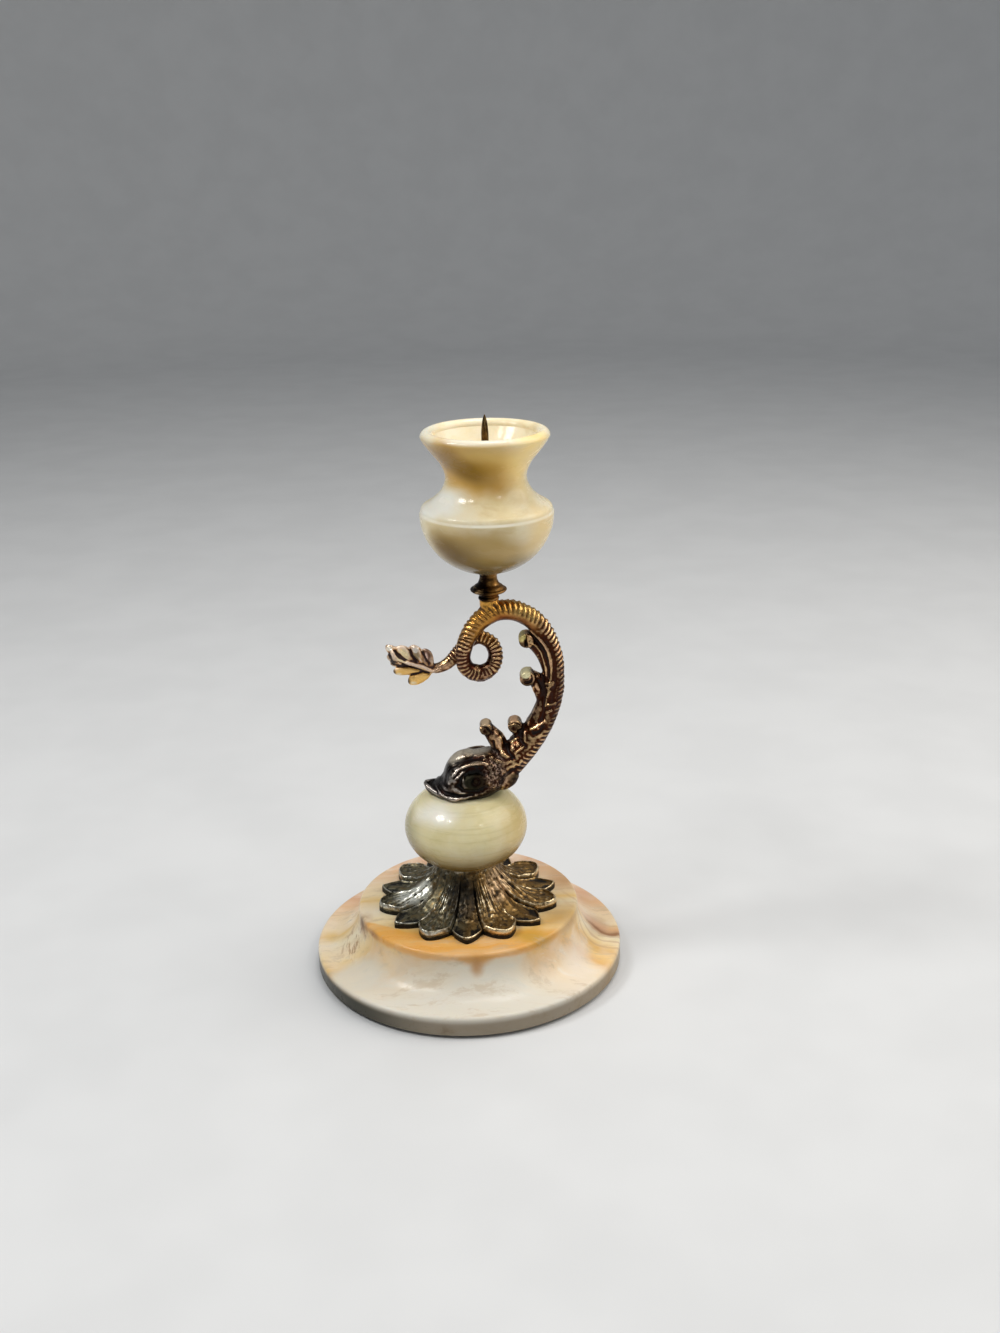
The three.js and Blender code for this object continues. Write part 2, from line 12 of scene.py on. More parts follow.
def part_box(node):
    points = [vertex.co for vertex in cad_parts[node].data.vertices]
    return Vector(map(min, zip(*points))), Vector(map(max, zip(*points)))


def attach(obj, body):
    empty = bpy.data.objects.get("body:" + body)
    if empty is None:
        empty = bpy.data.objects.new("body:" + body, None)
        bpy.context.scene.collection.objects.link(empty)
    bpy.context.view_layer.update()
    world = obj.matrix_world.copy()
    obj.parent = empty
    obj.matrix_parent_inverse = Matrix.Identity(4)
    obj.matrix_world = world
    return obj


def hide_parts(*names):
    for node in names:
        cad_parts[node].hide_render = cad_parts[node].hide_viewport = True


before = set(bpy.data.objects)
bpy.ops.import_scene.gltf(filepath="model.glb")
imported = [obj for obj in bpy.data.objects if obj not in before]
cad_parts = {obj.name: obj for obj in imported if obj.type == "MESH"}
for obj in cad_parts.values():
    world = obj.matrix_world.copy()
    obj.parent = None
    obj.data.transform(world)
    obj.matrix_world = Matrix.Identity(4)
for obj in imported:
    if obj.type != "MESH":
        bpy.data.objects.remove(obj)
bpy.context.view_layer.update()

bl_info = {
    "name": "Pricket candlestick",
    "version": (1, 0, 0),
    "blender": (4, 5, 0),
    "location": "3D View > Sidebar > Candlestick",
    "description": "Dresses an onyx and brass candlestick, piece by piece, over its CAD frame",
    "category": "Add Mesh",
}

# Sizes are millimetres unless a name, unit or comment says metres; meshes are written in metres.
MM = 0.001


def heights(node):
    """Lowest and highest level of a CAD node."""
    low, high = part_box(node)
    return low.z / MM, high.z / MM


SEAT, STEM_TOP = heights("dolphin_casting")
CUP_LOW, CUP_HIGH = (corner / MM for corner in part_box("onyx_cup"))
CUP_X = (CUP_LOW.x + CUP_HIGH.x) / 2
ROD_BORE, CUP_BORE, SKIRT_BORE = 3.3, 2.3, 5.0


# Mesh helpers

def smooth_mesh(name, bm, crease):
    """A mesh from a bmesh, shaded smooth where faces meet at less than the crease angle in degrees."""
    bmesh.ops.recalc_face_normals(bm, faces=bm.faces)
    for face in bm.faces:
        face.smooth = True
    for edge in bm.edges:
        edge.smooth = edge.calc_face_angle(0.0) < math.radians(crease)
    mesh = bpy.data.meshes.new(name)
    bm.to_mesh(mesh)
    bm.free()
    return mesh


def finish_piece(name, bm, material, slot, *nodes, crease=35):
    """Turn a bmesh into a riding piece of the candlestick that stands for CAD nodes."""
    mesh = smooth_mesh(name, bm, crease)
    piece = bpy.data.objects.new(name, mesh)
    bpy.context.scene.collection.objects.link(piece)
    mesh.materials.append(material)
    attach(piece, "root")
    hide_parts(*nodes)
    return mesh


def arc(centre_r, centre_z, radius_r, radius_z, start, end, steps):
    """Points of an elliptical arc in a profile, angles in degrees from the radius axis."""
    turns = [math.radians(start + (end - start) * i / steps) for i in range(steps + 1)]
    return [(centre_r + radius_r * math.cos(t), centre_z + radius_z * math.sin(t)) for t in turns]


def curve_through(points, fine=6):
    """A smooth profile through a few points."""
    route = Route([(r, 0, z, 0, 0) for r, z in points], fine)
    return [(row[0], row[2]) for row in route.rows]


def turned(bm, profile, steps, axis_x=0.0, closed=True):
    """Spin a profile of (radius, height), closed or open, about a vertical axis."""
    corners = [bm.verts.new(((axis_x + r) * MM, 0, z * MM)) for r, z in profile]
    following = corners[1:] + corners[:1] if closed else corners[1:]
    for first, second in zip(corners, following):
        bm.edges.new((first, second))
    bmesh.ops.spin(bm, geom=bm.verts[:] + bm.edges[:], cent=(axis_x * MM, 0, 0), axis=(0, 0, 1),
                   angle=2 * math.pi, steps=steps, use_merge=True, use_duplicate=False)
    bmesh.ops.remove_doubles(bm, verts=bm.verts, dist=1e-7)
    loose = [edge for edge in bm.edges if not edge.link_faces]
    bmesh.ops.delete(bm, geom=loose, context="EDGES")


def turned_piece(name, profile, steps, axis_x, *finish, crease=35):
    """A piece of one turned solid."""
    bm = bmesh.new()
    turned(bm, profile, steps, axis_x)
    finish_piece(name, bm, *finish, crease=crease)


class Route:
    """A smooth curve through stations of [x, y, z, half height, half width]."""

    def __init__(self, stations, fine=24):
        given = np.array(stations, float)
        ends = np.vstack([2 * given[0] - given[1], given, 2 * given[-1] - given[-2]])
        rows = []
        for i in range(len(given) - 1):
            a, b, c, d = ends[i:i + 4]
            knots = np.cumsum([0.0] + [max(1e-6, np.linalg.norm((q - p)[:3])) ** 0.5
                                       for p, q in ((a, b), (b, c), (c, d))])
            t = np.linspace(knots[1], knots[2], fine, endpoint=False)[:, None]
            ab, bc, cd = (self.blend(p, q, knots[j], knots[j + 1], t)
                          for j, (p, q) in enumerate(((a, b), (b, c), (c, d))))
            abc = self.blend(ab, bc, knots[0], knots[2], t)
            bcd = self.blend(bc, cd, knots[1], knots[3], t)
            rows.append(self.blend(abc, bcd, knots[1], knots[2], t))
        self.rows = np.vstack(rows + [given[-1:]])
        steps = np.linalg.norm(np.diff(self.rows[:, :3], axis=0), axis=1)
        self.arc = np.concatenate([[0.0], np.cumsum(steps)])
        self.length = self.arc[-1]

    @staticmethod
    def blend(p, q, start, end, t):
        """Straight mix of p at the start and q at the end."""
        return (end - t) / (end - start) * p + (t - start) / (end - start) * q

    def at(self, way):
        """Stations at these distances along the route, in millimetres."""
        return np.stack([np.interp(way, self.arc, column) for column in self.rows.T], axis=-1)

    def frames(self, way):
        """Centre, outward side, across, and the two half sizes at these distances."""
        here = self.at(way)
        along = self.at(np.minimum(way + 0.3, self.length)) - self.at(np.maximum(way - 0.3, 0.0))
        along = along[:, :3] / np.linalg.norm(along[:, :3], axis=1)[:, None]
        outward = np.stack([along[:, 2], 0 * along[:, 0], -along[:, 0]], axis=-1)
        outward /= np.linalg.norm(outward, axis=1)[:, None]
        across = np.cross(along, outward)
        return here[:, :3], outward, across, here[:, 3], here[:, 4]


def grid_form(bm, columns, rows, place):
    """A sheet of columns by rows whose points go where place(u, v) says, u and v from 0 to 1."""
    made = bmesh.ops.create_grid(bm, x_segments=columns, y_segments=rows, size=0.5)["verts"]
    flat = np.array([vert.co[:2] for vert in made]) + 0.5
    for vert, spot in zip(made, place(flat[:, 0], flat[:, 1]) * MM):
        vert.co = spot
    return made


def swept(bm, stations, rings, sides, flip=1.0):
    """A closed tube along a route; flip=-1 puts it on the other side of the casting."""
    route = Route(stations)

    def place(u, v):
        centre, outward, across, half, wide = route.frames(u * route.length)
        turn = 2 * np.pi * v
        spots = centre + outward * (half * np.cos(turn))[:, None] + across * (wide * np.sin(turn))[:, None]
        spots[:, 1] *= flip
        spots[:, 2] += SEAT
        return spots

    made = grid_form(bm, rings, sides, place)
    bmesh.ops.remove_doubles(bm, verts=made, dist=1e-7)
    rim = [edge for edge in bm.edges if edge.is_boundary]
    bmesh.ops.holes_fill(bm, edges=rim)


def lobe(bm, root, tip, half_width, half_depth, y=0.0):
    """An ellipsoid from its root to its tip, both (x, z), in the casting's plane."""
    (root_x, root_z), (tip_x, tip_z) = root, tip
    length = math.hypot(tip_x - root_x, tip_z - root_z)
    turn = math.atan2(tip_x - root_x, tip_z - root_z)
    place = (Matrix.Translation(((root_x + tip_x) / 2 * MM, y * MM, ((root_z + tip_z) / 2 + SEAT) * MM))
             @ Matrix.Rotation(turn, 4, "Y")
             @ Matrix.Diagonal((half_width * MM, half_depth * MM, length / 2 * MM, 1)))
    bmesh.ops.create_uvsphere(bm, u_segments=28, v_segments=18, radius=1, matrix=place)


def pour(bm, part):
    """Add a finished form to the forms of the casting."""
    mesh = bpy.data.meshes.new("form")
    part.to_mesh(mesh)
    part.free()
    bm.from_mesh(mesh)
    bpy.data.meshes.remove(mesh)


def drum(bm, x, y, z, radius, depth, rounding=0.5):
    """A short cylinder across the casting, with eased rims."""
    inner, end = radius - rounding, depth / 2
    profile = [(0, -end), *arc(inner, rounding - end, rounding, rounding, 270, 360, 6),
               *arc(inner, end - rounding, rounding, rounding, 0, 90, 6), (0, end)]
    part = bmesh.new()
    turned(part, profile, 28)
    bmesh.ops.rotate(part, verts=part.verts, cent=(0, 0, 0), matrix=Matrix.Rotation(math.pi / 2, 3, "X"))
    bmesh.ops.translate(part, verts=part.verts, vec=(x * MM, y * MM, (z + SEAT) * MM))
    pour(bm, part)


def sliced(bm, point, facing):
    """Cut away what lies beyond a plane, and close the cut."""
    cut = bmesh.ops.bisect_plane(bm, geom=bm.verts[:] + bm.edges[:] + bm.faces[:], dist=1e-7, plane_co=point,
                                 plane_no=facing, clear_outer=True)
    rim = [item for item in cut["geom_cut"] if isinstance(item, bmesh.types.BMEdge)]
    bmesh.ops.edgeloop_fill(bm, edges=rim)


def one_skin(bm, voxel):
    """Join overlapping closed forms into one skin, returned as a mesh."""
    bmesh.ops.recalc_face_normals(bm, faces=bm.faces)
    rough = bpy.data.meshes.new("forms")
    bm.to_mesh(rough)
    bm.free()
    carrier = bpy.data.objects.new("forms", rough)
    bpy.context.scene.collection.objects.link(carrier)
    skin = carrier.modifiers.new("skin", "REMESH")
    skin.mode = "VOXEL"
    skin.voxel_size = voxel * MM
    joined = bpy.data.meshes.new_from_object(carrier.evaluated_get(bpy.context.evaluated_depsgraph_get()))
    bpy.data.objects.remove(carrier)
    bpy.data.meshes.remove(rough)
    return joined


def drop_specks(bm):
    """Delete the tiny closed specks that joining leaves beside the one skin."""
    waiting, parts = set(bm.verts), []
    while waiting:
        part = [waiting.pop()]
        for vert in part:
            for edge in vert.link_edges:
                other = edge.other_vert(vert)
                if other in waiting:
                    waiting.remove(other)
                    part.append(other)
        parts.append(part)
    parts.sort(key=len)
    for part in parts[:-1]:
        bmesh.ops.delete(bm, geom=part, context="VERTS")


def read_mesh(mesh):
    """Points, normals and edges of a mesh, in millimetres."""
    points = np.empty(len(mesh.vertices) * 3)
    normals = np.empty(len(mesh.vertices) * 3)
    edges = np.empty(len(mesh.edges) * 2, int)
    mesh.vertices.foreach_get("co", points)
    mesh.vertices.foreach_get("normal", normals)
    mesh.edges.foreach_get("vertices", edges)
    return points.reshape(-1, 3) / MM, normals.reshape(-1, 3), edges.reshape(-1, 2)


def write_points(mesh, points):
    """Put the points, in millimetres, back into the mesh."""
    mesh.vertices.foreach_set("co", (points * MM).ravel())
    mesh.update()


def relaxed(points, edges, times):
    """Points moved towards the middle of their neighbours, some times over."""
    first, second = edges.T
    count = np.bincount(edges.ravel(), minlength=len(points))[:, None]
    for _ in range(times):
        pull = np.stack([np.bincount(first, points[second, k], len(points))
                         + np.bincount(second, points[first, k], len(points)) for k in range(3)], axis=-1)
        points = 0.5 * points + 0.5 * pull / count
    return points


def ease(value, low, high):
    """Smooth step from 0 at low to 1 at high."""
    t = np.clip((value - low) / (high - low), 0.0, 1.0)
    return t * t * (3 - 2 * t)


def stroke_distance(x, z, line):
    """Distance of points from a drawn line, in the casting's plane."""
    best = np.full(len(x), 1e9)
    for (ax, az), (bx, bz) in zip(line, line[1:]):
        dx, dz = bx - ax, bz - az
        t = np.clip(((x - ax) * dx + (z - az) * dz) / max(1e-9, dx * dx + dz * dz), 0, 1)
        best = np.minimum(best, np.hypot(x - ax - t * dx, z - az - t * dz))
    return best


def ring_line(x, z, radius, start=0, end=360):
    """Points of a ring or of a part of one, in degrees, for a stroke."""
    return arc(x, z, radius, radius, start, end, 24)


def mark_relief(mesh, spread, top_light, broad, wall_top=None):
    """Write how far each point stands out of its surroundings, 0 in hollows and 1 on ridges, raised on
    up-facing points as painted light from above.
    """
    points, normals, edges = read_mesh(mesh)
    near = relaxed(points, edges, 10)
    wide = relaxed(near, edges, 50)
    out = np.sum((points - near) * normals, axis=1) + broad * np.sum((points - wide) * normals, axis=1)
    # Up-facing points count as more raised: painted light from above, lighter tops and darker undersides
    relief = 0.5 + 0.5 * np.tanh(out / spread) + top_light * normals[:, 2]
    if wall_top:
        relief *= ease(points[:, 2], wall_top - 0.3, wall_top + 0.3)
    layer = mesh.attributes.new("relief", "FLOAT", "POINT")
    layer.data.foreach_set("value", relief)


# Materials

def tone_of(tone):
    """A screen colour, from 0 to 255, as a node's colour; a socket or a chosen colour stays as it is."""
    if not isinstance(tone, tuple):
        return tone
    return tuple(((c / 255 + 0.055) / 1.055) ** 2.4 if c > 10 else c / 255 / 12.92 for c in tone) + (1.0,)


class Finish:
    """A node material, written line by line. Positions are millimetres of the candlestick."""

    def __init__(self, name):
        self.material = bpy.data.materials.new(name)
        self.material.use_nodes = True
        self.tree = self.material.node_tree
        self.shader = self.tree.nodes["Principled BSDF"]
        metres = self.add("TexCoord", out="Object")
        self.place = self.add("Mapping", {"Vector": metres, "Scale": (1 / MM,) * 3})
        self.colour = None

    def add(self, kind, inputs=None, out=0, **settings):
        node = self.tree.nodes.new("ShaderNode" + kind)
        for key, value in settings.items():
            setattr(node, key, value)
        for key, value in (inputs or {}).items():
            self.join(node.inputs[key], value)
        return node.outputs[out]

    def join(self, socket, value):
        if isinstance(value, bpy.types.NodeSocket):
            self.tree.links.new(value, socket)
        else:
            socket.default_value = value

    def wear(self, socket, value):
        self.join(self.shader.inputs[socket], value)

    def math(self, operation, *inputs):
        return self.add("Math", dict(enumerate(inputs)), operation=operation)

    def vector(self, operation, *inputs, out=0):
        return self.add("VectorMath", dict(enumerate(inputs)), out, operation=operation)

    def times(self, first, *others):
        for other in others:
            first = self.math("MULTIPLY", first, other)
        return first

    def most(self, first, *others):
        for other in others:
            first = self.math("MAXIMUM", first, other)
        return first

    def stretch(self, scale, where=None, turn=(0, 0, 0)):
        return self.add("Mapping", {"Vector": where or self.place, "Scale": scale, "Rotation": turn})

    def noise(self, scale, where=None, detail=4, rough=0.55, out="Fac"):
        inputs = {"Vector": where or self.place, "Scale": scale, "Detail": detail, "Roughness": rough}
        return self.add("TexNoise", inputs, out)

    def warp(self, scale, amount, where=None):
        """Positions pushed about by up to this many millimetres."""
        where = where or self.place
        push = self.vector("SUBTRACT", self.noise(scale, where, 2, out="Color"), (0.5,) * 3)
        return self.vector("MULTIPLY_ADD", push, (2 * amount,) * 3, where)

    def shifted(self, value, noise, amount):
        """A value made uneven by a noise."""
        return self.math("MULTIPLY_ADD", self.math("SUBTRACT", noise, 0.5), amount, value)

    def axis(self, name, where=None):
        return self.add("SeparateXYZ", {0: where or self.place}, name)

    def between(self, value, low, high, start=0, end=1):
        """Smooth step from start at the low value to end at the high one."""
        inputs = {"Value": value, "From Min": low, "From Max": high, "To Min": start, "To Max": end}
        return self.add("MapRange", inputs, interpolation_type="SMOOTHSTEP")

    def slope(self, axis, low, high, start=0, end=1, where=None):
        """The same, along an axis."""
        return self.between(self.axis(axis, where), low, high, start, end)

    def band(self, value, level, full, edge):
        """1 close to a level of the value, falling to 0 at the edge."""
        return self.between(self.math("ABSOLUTE", self.math("SUBTRACT", value, level)), full, edge, 1, 0)

    def distance(self, centre, units, where=None):
        """Distance from a centre, in units of its own along each axis."""
        off = self.vector("SUBTRACT", where or self.place, centre)
        return self.vector("LENGTH", self.vector("DIVIDE", off, units), out="Value")

    def patch(self, centre, radii, where=None, core=0.2):
        """1 inside an ellipsoid, falling to 0 at its edge."""
        return self.between(self.distance(centre, radii, where), core, 1, 1, 0)

    def tint(self, tone, *shares):
        """Change the colour towards a tone, by the product of the shares."""
        self.colour = self.mix(self.times(*shares), self.colour, tone)

    def stains(self, where, *rows):
        """Tint soft ellipsoids, given as tone, centre, radii, strength and, if not 0.2, core."""
        for tone, centre, radii, strength, *core in rows:
            self.tint(tone, self.patch(centre, radii, where, *core), strength)

    def ramp(self, value, stops):
        node = self.tree.nodes.new("ShaderNodeValToRGB")
        self.join(node.inputs[0], value)
        bar = node.color_ramp.elements
        while len(bar) > 1:
            bar.remove(bar[-1])
        for i, (position, tone) in enumerate(stops):
            stop = bar[0] if i == 0 else bar.new(position)
            stop.position = position
            stop.color = tone_of(tone)
        return node.outputs[0]

    def mix(self, factor, first, second):
        return self.add("Mix", {0: factor, 6: tone_of(first), 7: tone_of(second)}, 2, data_type="RGBA")

    def stone(self, glow, depth, shine, polish):
        """Light that sinks a little way into the stone, under a polish."""
        for socket, value in (
                ("Coat Weight", polish), ("Coat Roughness", 0.09), ("Specular IOR Level", shine),
                ("Subsurface Weight", glow), ("Subsurface Radius", (1, 0.7, 0.4)),
                ("Subsurface Scale", depth * MM)):
            self.wear(socket, value)

    def finished(self, roughness, height, distance, strength):
        """The material with its colour, its roughness and a fine bump of this height."""
        self.wear("Base Color", self.colour)
        self.wear("Roughness", roughness)
        bump = {"Height": height, "Distance": distance * MM, "Strength": strength}
        self.wear("Normal", self.add("Bump", bump))
        return self.material


def settings():
    return bpy.context.scene.candlestick


def onyx_layers(f, fine, streak):
    """Layers that stand nearly upright, run from left to right and bulge about one spot at the right."""
    bulge = f.between(f.distance((42, -19, 12), (1, 1, 1 / 0.6), fine), 2, 26, -16, 0)
    layer = f.math("ADD", f.axis("Y", fine), bulge)
    f.colour = f.ramp(f.math("MULTIPLY_ADD", layer, 1 / 130, 0.5), [
        (0.08, (214, 206, 196)), (0.17, (226, 217, 203)), (0.205, (232, 212, 180)), (0.235, (222, 176, 110)),
        (0.27, (231, 196, 136)), (0.31, (216, 172, 96)), (0.37, (230, 206, 158)), (0.44, (226, 214, 184)),
        (0.49, (220, 186, 122)), (0.53, (228, 208, 170)), (0.6, (224, 200, 166)), (0.67, (218, 178, 138)),
        (0.72, (206, 164, 132)), (0.8, (226, 210, 188)), (0.92, (216, 204, 190))])
    f.tint((188, 166, 132), f.between(streak, 0.54, 0.74, 0, 0.6))
    f.tint((240, 234, 222), f.between(streak, 0.46, 0.24, 0, 0.6))
    f.tint((232, 214, 192), f.between(f.noise(0.045, fine, 3), 0.5, 0.66, 0, 0.5))


def base_stains(f, fine, near, streak, look):
    """Pale front and left cove, the orange crescent between petals and edge, and brown stains."""
    veiled = f.between(streak, 0.3, 0.7, 0.9, 0.55)
    f.stains(fine, (look.cove_white, (-6, -45, 10), (58, 22, 16), veiled, 0.55))
    slant = f.math("MULTIPLY_ADD", f.axis("X", near), 0.54, f.axis("Y", near))
    crescent = f.most(f.between(slant, -33.8, -35.2), f.slope("Y", -22, -25, where=near))
    upper = f.slope("Z", 19.4, 21.2, where=near)
    f.tint(look.orange, crescent, upper, f.between(streak, 0.3, 0.62, 0.9, 0.5))
    f.stains(fine, ((188, 144, 46), (24, -27, 23), (13, 8, 5), 0.75))
    f.stains(near,
             ((206, 152, 82), (3.4, -40, 21.2), (9, 4, 3.6), 0.9),
             ((186, 134, 74), (3.3, -41, 18.6), (3.8, 4, 4.8), 0.9))
    cracks = f.noise(0.22, f.stretch((0.3, 1, 0.9), fine), 7, 0.7)
    f.tint((190, 168, 138), f.between(cracks, 0.53, 0.64, 0, 0.4))
    f.stains(fine,
             ((186, 150, 92), (34, -12, 23), (11, 15, 6), 0.7),
             ((192, 144, 96), (34, 12, 23), (10, 14, 6), 0.7),
             ((232, 218, 204), (41, -20, 12), (12, 14, 9), 0.6),
             ((180, 148, 116), (48, 2, 9), (9, 11, 8), 0.75))
    grit = f.between(f.noise(0.4, fine, 5), 0.38, 0.62, 0.25, 1)
    whisker = f.noise(0.9, f.stretch((1, 0.2, 0.2), near, (0, 0, 0.7)), 5, 0.6)
    f.stains(near,
             (look.cove_white, (-39, -30, 10), (15, 12, 10), 0.85, 0.45),
             (look.vein, (-36.6, -13.5, 19.8), (7, 9, 4.4), f.between(grit, 0.3, 0.8, 0.5, 0.9)),
             ((92, 58, 32), (-37.2, -12, 20.2), (4.2, 5.5, 2.8), 0.9),
             ((156, 110, 66), (-32.8, -22, 21.2), (4, 6.5, 1.8), 0.7),
             ((160, 120, 84), (-42, -12.5, 14), (8, 14, 8), f.between(whisker, 0.5, 0.62, 0, 0.7), 0.4),
             ((104, 80, 54), (-8.5, -55.5, 3), (6.5, 3, 3.4), f.times(grit, 0.9)))


def base_rings(f, fine):
    """The bent brown vein at the right, with its halo and growth rings."""
    radius = f.distance((58, 14, 12), (1, 1, 1 / 0.3), fine)
    f.tint((206, 158, 124), f.band(radius, 15.5, 0.5, 5), f.slope("Y", 14, 0, where=fine), 0.6)
    growth = f.between(f.math("SINE", f.times(radius, 1.7)), 0.3, 0.95, 0, 0.4)
    f.tint((176, 136, 108), growth, f.between(radius, 34, 24), f.slope("Y", 8, -3, where=fine))
    f.tint((132, 88, 56), f.band(radius, 17.5, 0.3, 1.9), f.slope("Y", 7, -1, where=fine), 0.8)


def banded_onyx():
    """Stone of the base."""
    f = Finish("banded_onyx")
    fine = f.warp(0.22, 0.9, f.warp(0.03, 7))
    near = f.warp(0.2, 0.9)
    streak = f.noise(0.35, f.stretch((0.1, 1, 0.75), fine), 6, 0.6)
    onyx_layers(f, fine, streak)
    base_stains(f, fine, near, streak, settings().stone)
    base_rings(f, fine)
    # Painted shade and contact shadow low on the rim's side, most at the left
    low = f.slope("Z", 7.6, 5)
    f.tint((128, 112, 88), low, 0.8)
    f.tint((42, 44, 34), low, f.slope("X", -4, -40, 0, 0.95, near))
    f.stone(0.12, 2.5, 0.25, 0.12)
    return f.finished(f.between(streak, 0.2, 0.8, 0.24, 0.42), f.noise(0.9, fine, 5, 0.65), 0.05, 0.5)


def pale_onyx():
    """Stone of the ball, with faint turning lines, a brown foot and a painted highlight at the upper left."""
    f = Finish("pale_onyx")
    soft = f.warp(0.05, 5)
    cloud = f.noise(0.07, soft, 5)
    f.colour = f.ramp(cloud, [(0.3, (214, 202, 150)), (0.5, settings().stone.ball), (0.7, (232, 224, 190))])
    lines = f.noise(0.9, f.stretch((0.02, 0.02, 1)), 3, 0.6)
    f.tint((180, 168, 116), f.between(lines, 0.52, 0.75, 0, 0.35))
    grain = f.noise(0.35, f.stretch((0.25, 0.25, 1.3), soft), 6)
    f.tint((228, 222, 188), f.between(grain, 0.5, 0.72, 0, 0.35))
    f.stains(soft,
             ((204, 168, 92), (19, -8, 53), (17, 20, 16), 0.6, 0.1),
             # Painted highlight: a near-white patch at the ball's upper left front
             ((246, 244, 234), (-9, -11, 62), (12, 12, 6), 0.85),
             ((148, 140, 102), (-20, -8, 54), (9, 14, 11), 0.75))
    f.tint((116, 88, 28), f.slope("Z", 55.5, 43.5, where=soft), 0.94)
    f.stone(0.15, 3, 0.25, 0.25)
    height = f.math("ADD", lines, f.times(grain, 0.6))
    return f.finished(f.between(grain, 0.2, 0.8, 0.2, 0.34), height, 0.06, 0.5)


def honey_onyx():
    """Stone of the cup: brown bowl, shoulder with a painted highlight at its left, honey neck and frosted
    lip; painted light at the right and painted shade under the bowl.
    """
    look = settings().stone
    f = Finish("honey_onyx")
    soft = f.warp(0.045, 5)
    cloud = f.noise(0.06, soft, 5)
    f.colour = f.ramp(cloud, [(0.3, (224, 206, 158)), (0.5, look.cup), (0.7, (240, 232, 208))])
    flow = f.noise(0.16, f.stretch((0.5, 0.5, 1.4), soft, (0.5, 0.2, 0)), 6, 0.6)
    f.tint((238, 232, 214), f.between(flow, 0.5, 0.7, 0, 0.5))
    f.tint((206, 182, 128), f.between(flow, 0.48, 0.3, 0, 0.4))
    f.stains(soft,
             (look.honey, (5, -12, 186), (25, 20, 14), 0.95, 0.45),
             ((224, 190, 112), (12, -20, 190.5), (17, 10, 5.5), 0.75),
             ((146, 108, 42), (-6, -13, 187), (12, 12, 9), 0.8),
             # Painted light on the neck's right side
             ((255, 224, 146), (24, -13, 187), (13, 14, 14), 0.9, 0.35),
             ((150, 110, 0), (3.4, -14.4, 184.8), (12.5, 8.5, 8), 0.95),
             ((184, 150, 78), (6, -18, 157.5), (26, 17, 12), 0.85, 0.4),
             ((112, 82, 6), (-3, -17, 156), (16, 12, 9.5), 0.88),
             # Painted light on the bowl's right side
             ((236, 206, 142), (28, -13, 162), (13, 13, 13), 0.8))
    # Painted shade, darker towards the bottom of the bowl
    f.tint((88, 68, 28), f.slope("Z", 158, 148.5, 0, 0.9, soft))
    f.stains(soft,
             # Painted highlight: the white patch on the shoulder's left front
             ((244, 244, 234), (-7, -9, 171.5), (14, 16, 7.5), 0.95, 0.35),
             ((226, 226, 212), (-14, 0, 194.5), (14, 26, 4), 0.8, 0.3))
    f.stains(None, ((236, 232, 216), (4, -20.5, 194.6), (24, 9, 2.8), 0.85, 0.4))
    # The polished arris between bowl and shoulder, with a painted highlight along it
    f.tint((255, 250, 232), f.band(f.axis("Z"), 167.1, 0.2, 0.65), f.between(flow, 0.3, 0.6, 0.9, 0.4))
    f.stone(0.12, 2.5, 0.18, 0.3)
    return f.finished(f.between(flow, 0.2, 0.8, 0.18, 0.32), flow, 0.12, 0.4)


def patina(name, bright, middle, dark, scale=0.5, uneven=0.8):
    """Cast metal, dark in hollows and rubbed bright where it stands out; returns also how worn it is."""
    f = Finish(name)
    high = f.add("Attribute", out="Fac", attribute_name="relief")
    worn = f.shifted(high, f.noise(scale, None, 6, 0.65), uneven)
    f.colour = f.ramp(worn, [(0.12, dark), (0.42, middle), (0.72, middle), (1, bright)])
    return f, worn


def arch_tones(f, worn):
    """The rubbed top of the loop, painted shade on its inner side, red brown with a dark edge, the dark left
    flank of the loop, and painted shade on the body's outer right flank.
    """
    f.tint((214, 164, 140), f.between(f.noise(0.3, None, 3), 0.45, 0.6, 0, 0.5), f.between(worn, 0.7, 1))
    f.stains(None,
             ((228, 166, 76), (10, 0, 136), (26, 14, 19), f.between(worn, 0.15, 0.75, 0.15, 0.95), 0.35),
             ((255, 214, 132), (22, 0, 131), (9, 14, 6), f.between(worn, 0.3, 0.7, 0.1, 0.85)))
    # Painted shade on the arch's underside: red brown, darker at its edge, stronger towards the right
    right = f.times(f.slope("X", 9, 14, 0.25, 0.85), f.slope("X", 27, 22, 0.4, 1))
    for tone, radius, core, share in (((118, 60, 36), 18.2, 0.83, right), ((48, 24, 14), 14.2, 0.93, 0.8)):
        inside = f.patch((15.4, 0, 116.4), (radius, 14, radius), None, core)
        f.tint(tone, inside, f.slope("Z", 124.5, 127.5), share)
    f.stains(None,
             ((86, 44, 32), (3, 0, 111.5), (14, 14, 13), f.between(worn, 0.98, 0.5, 0.3, 0.85)),
             # Painted shade down the body's outer right edge
             ((60, 32, 22), (33, 0, 98), (8, 12, 28), f.between(worn, 1, 0.6, 0.5, 0.85), 0.4))


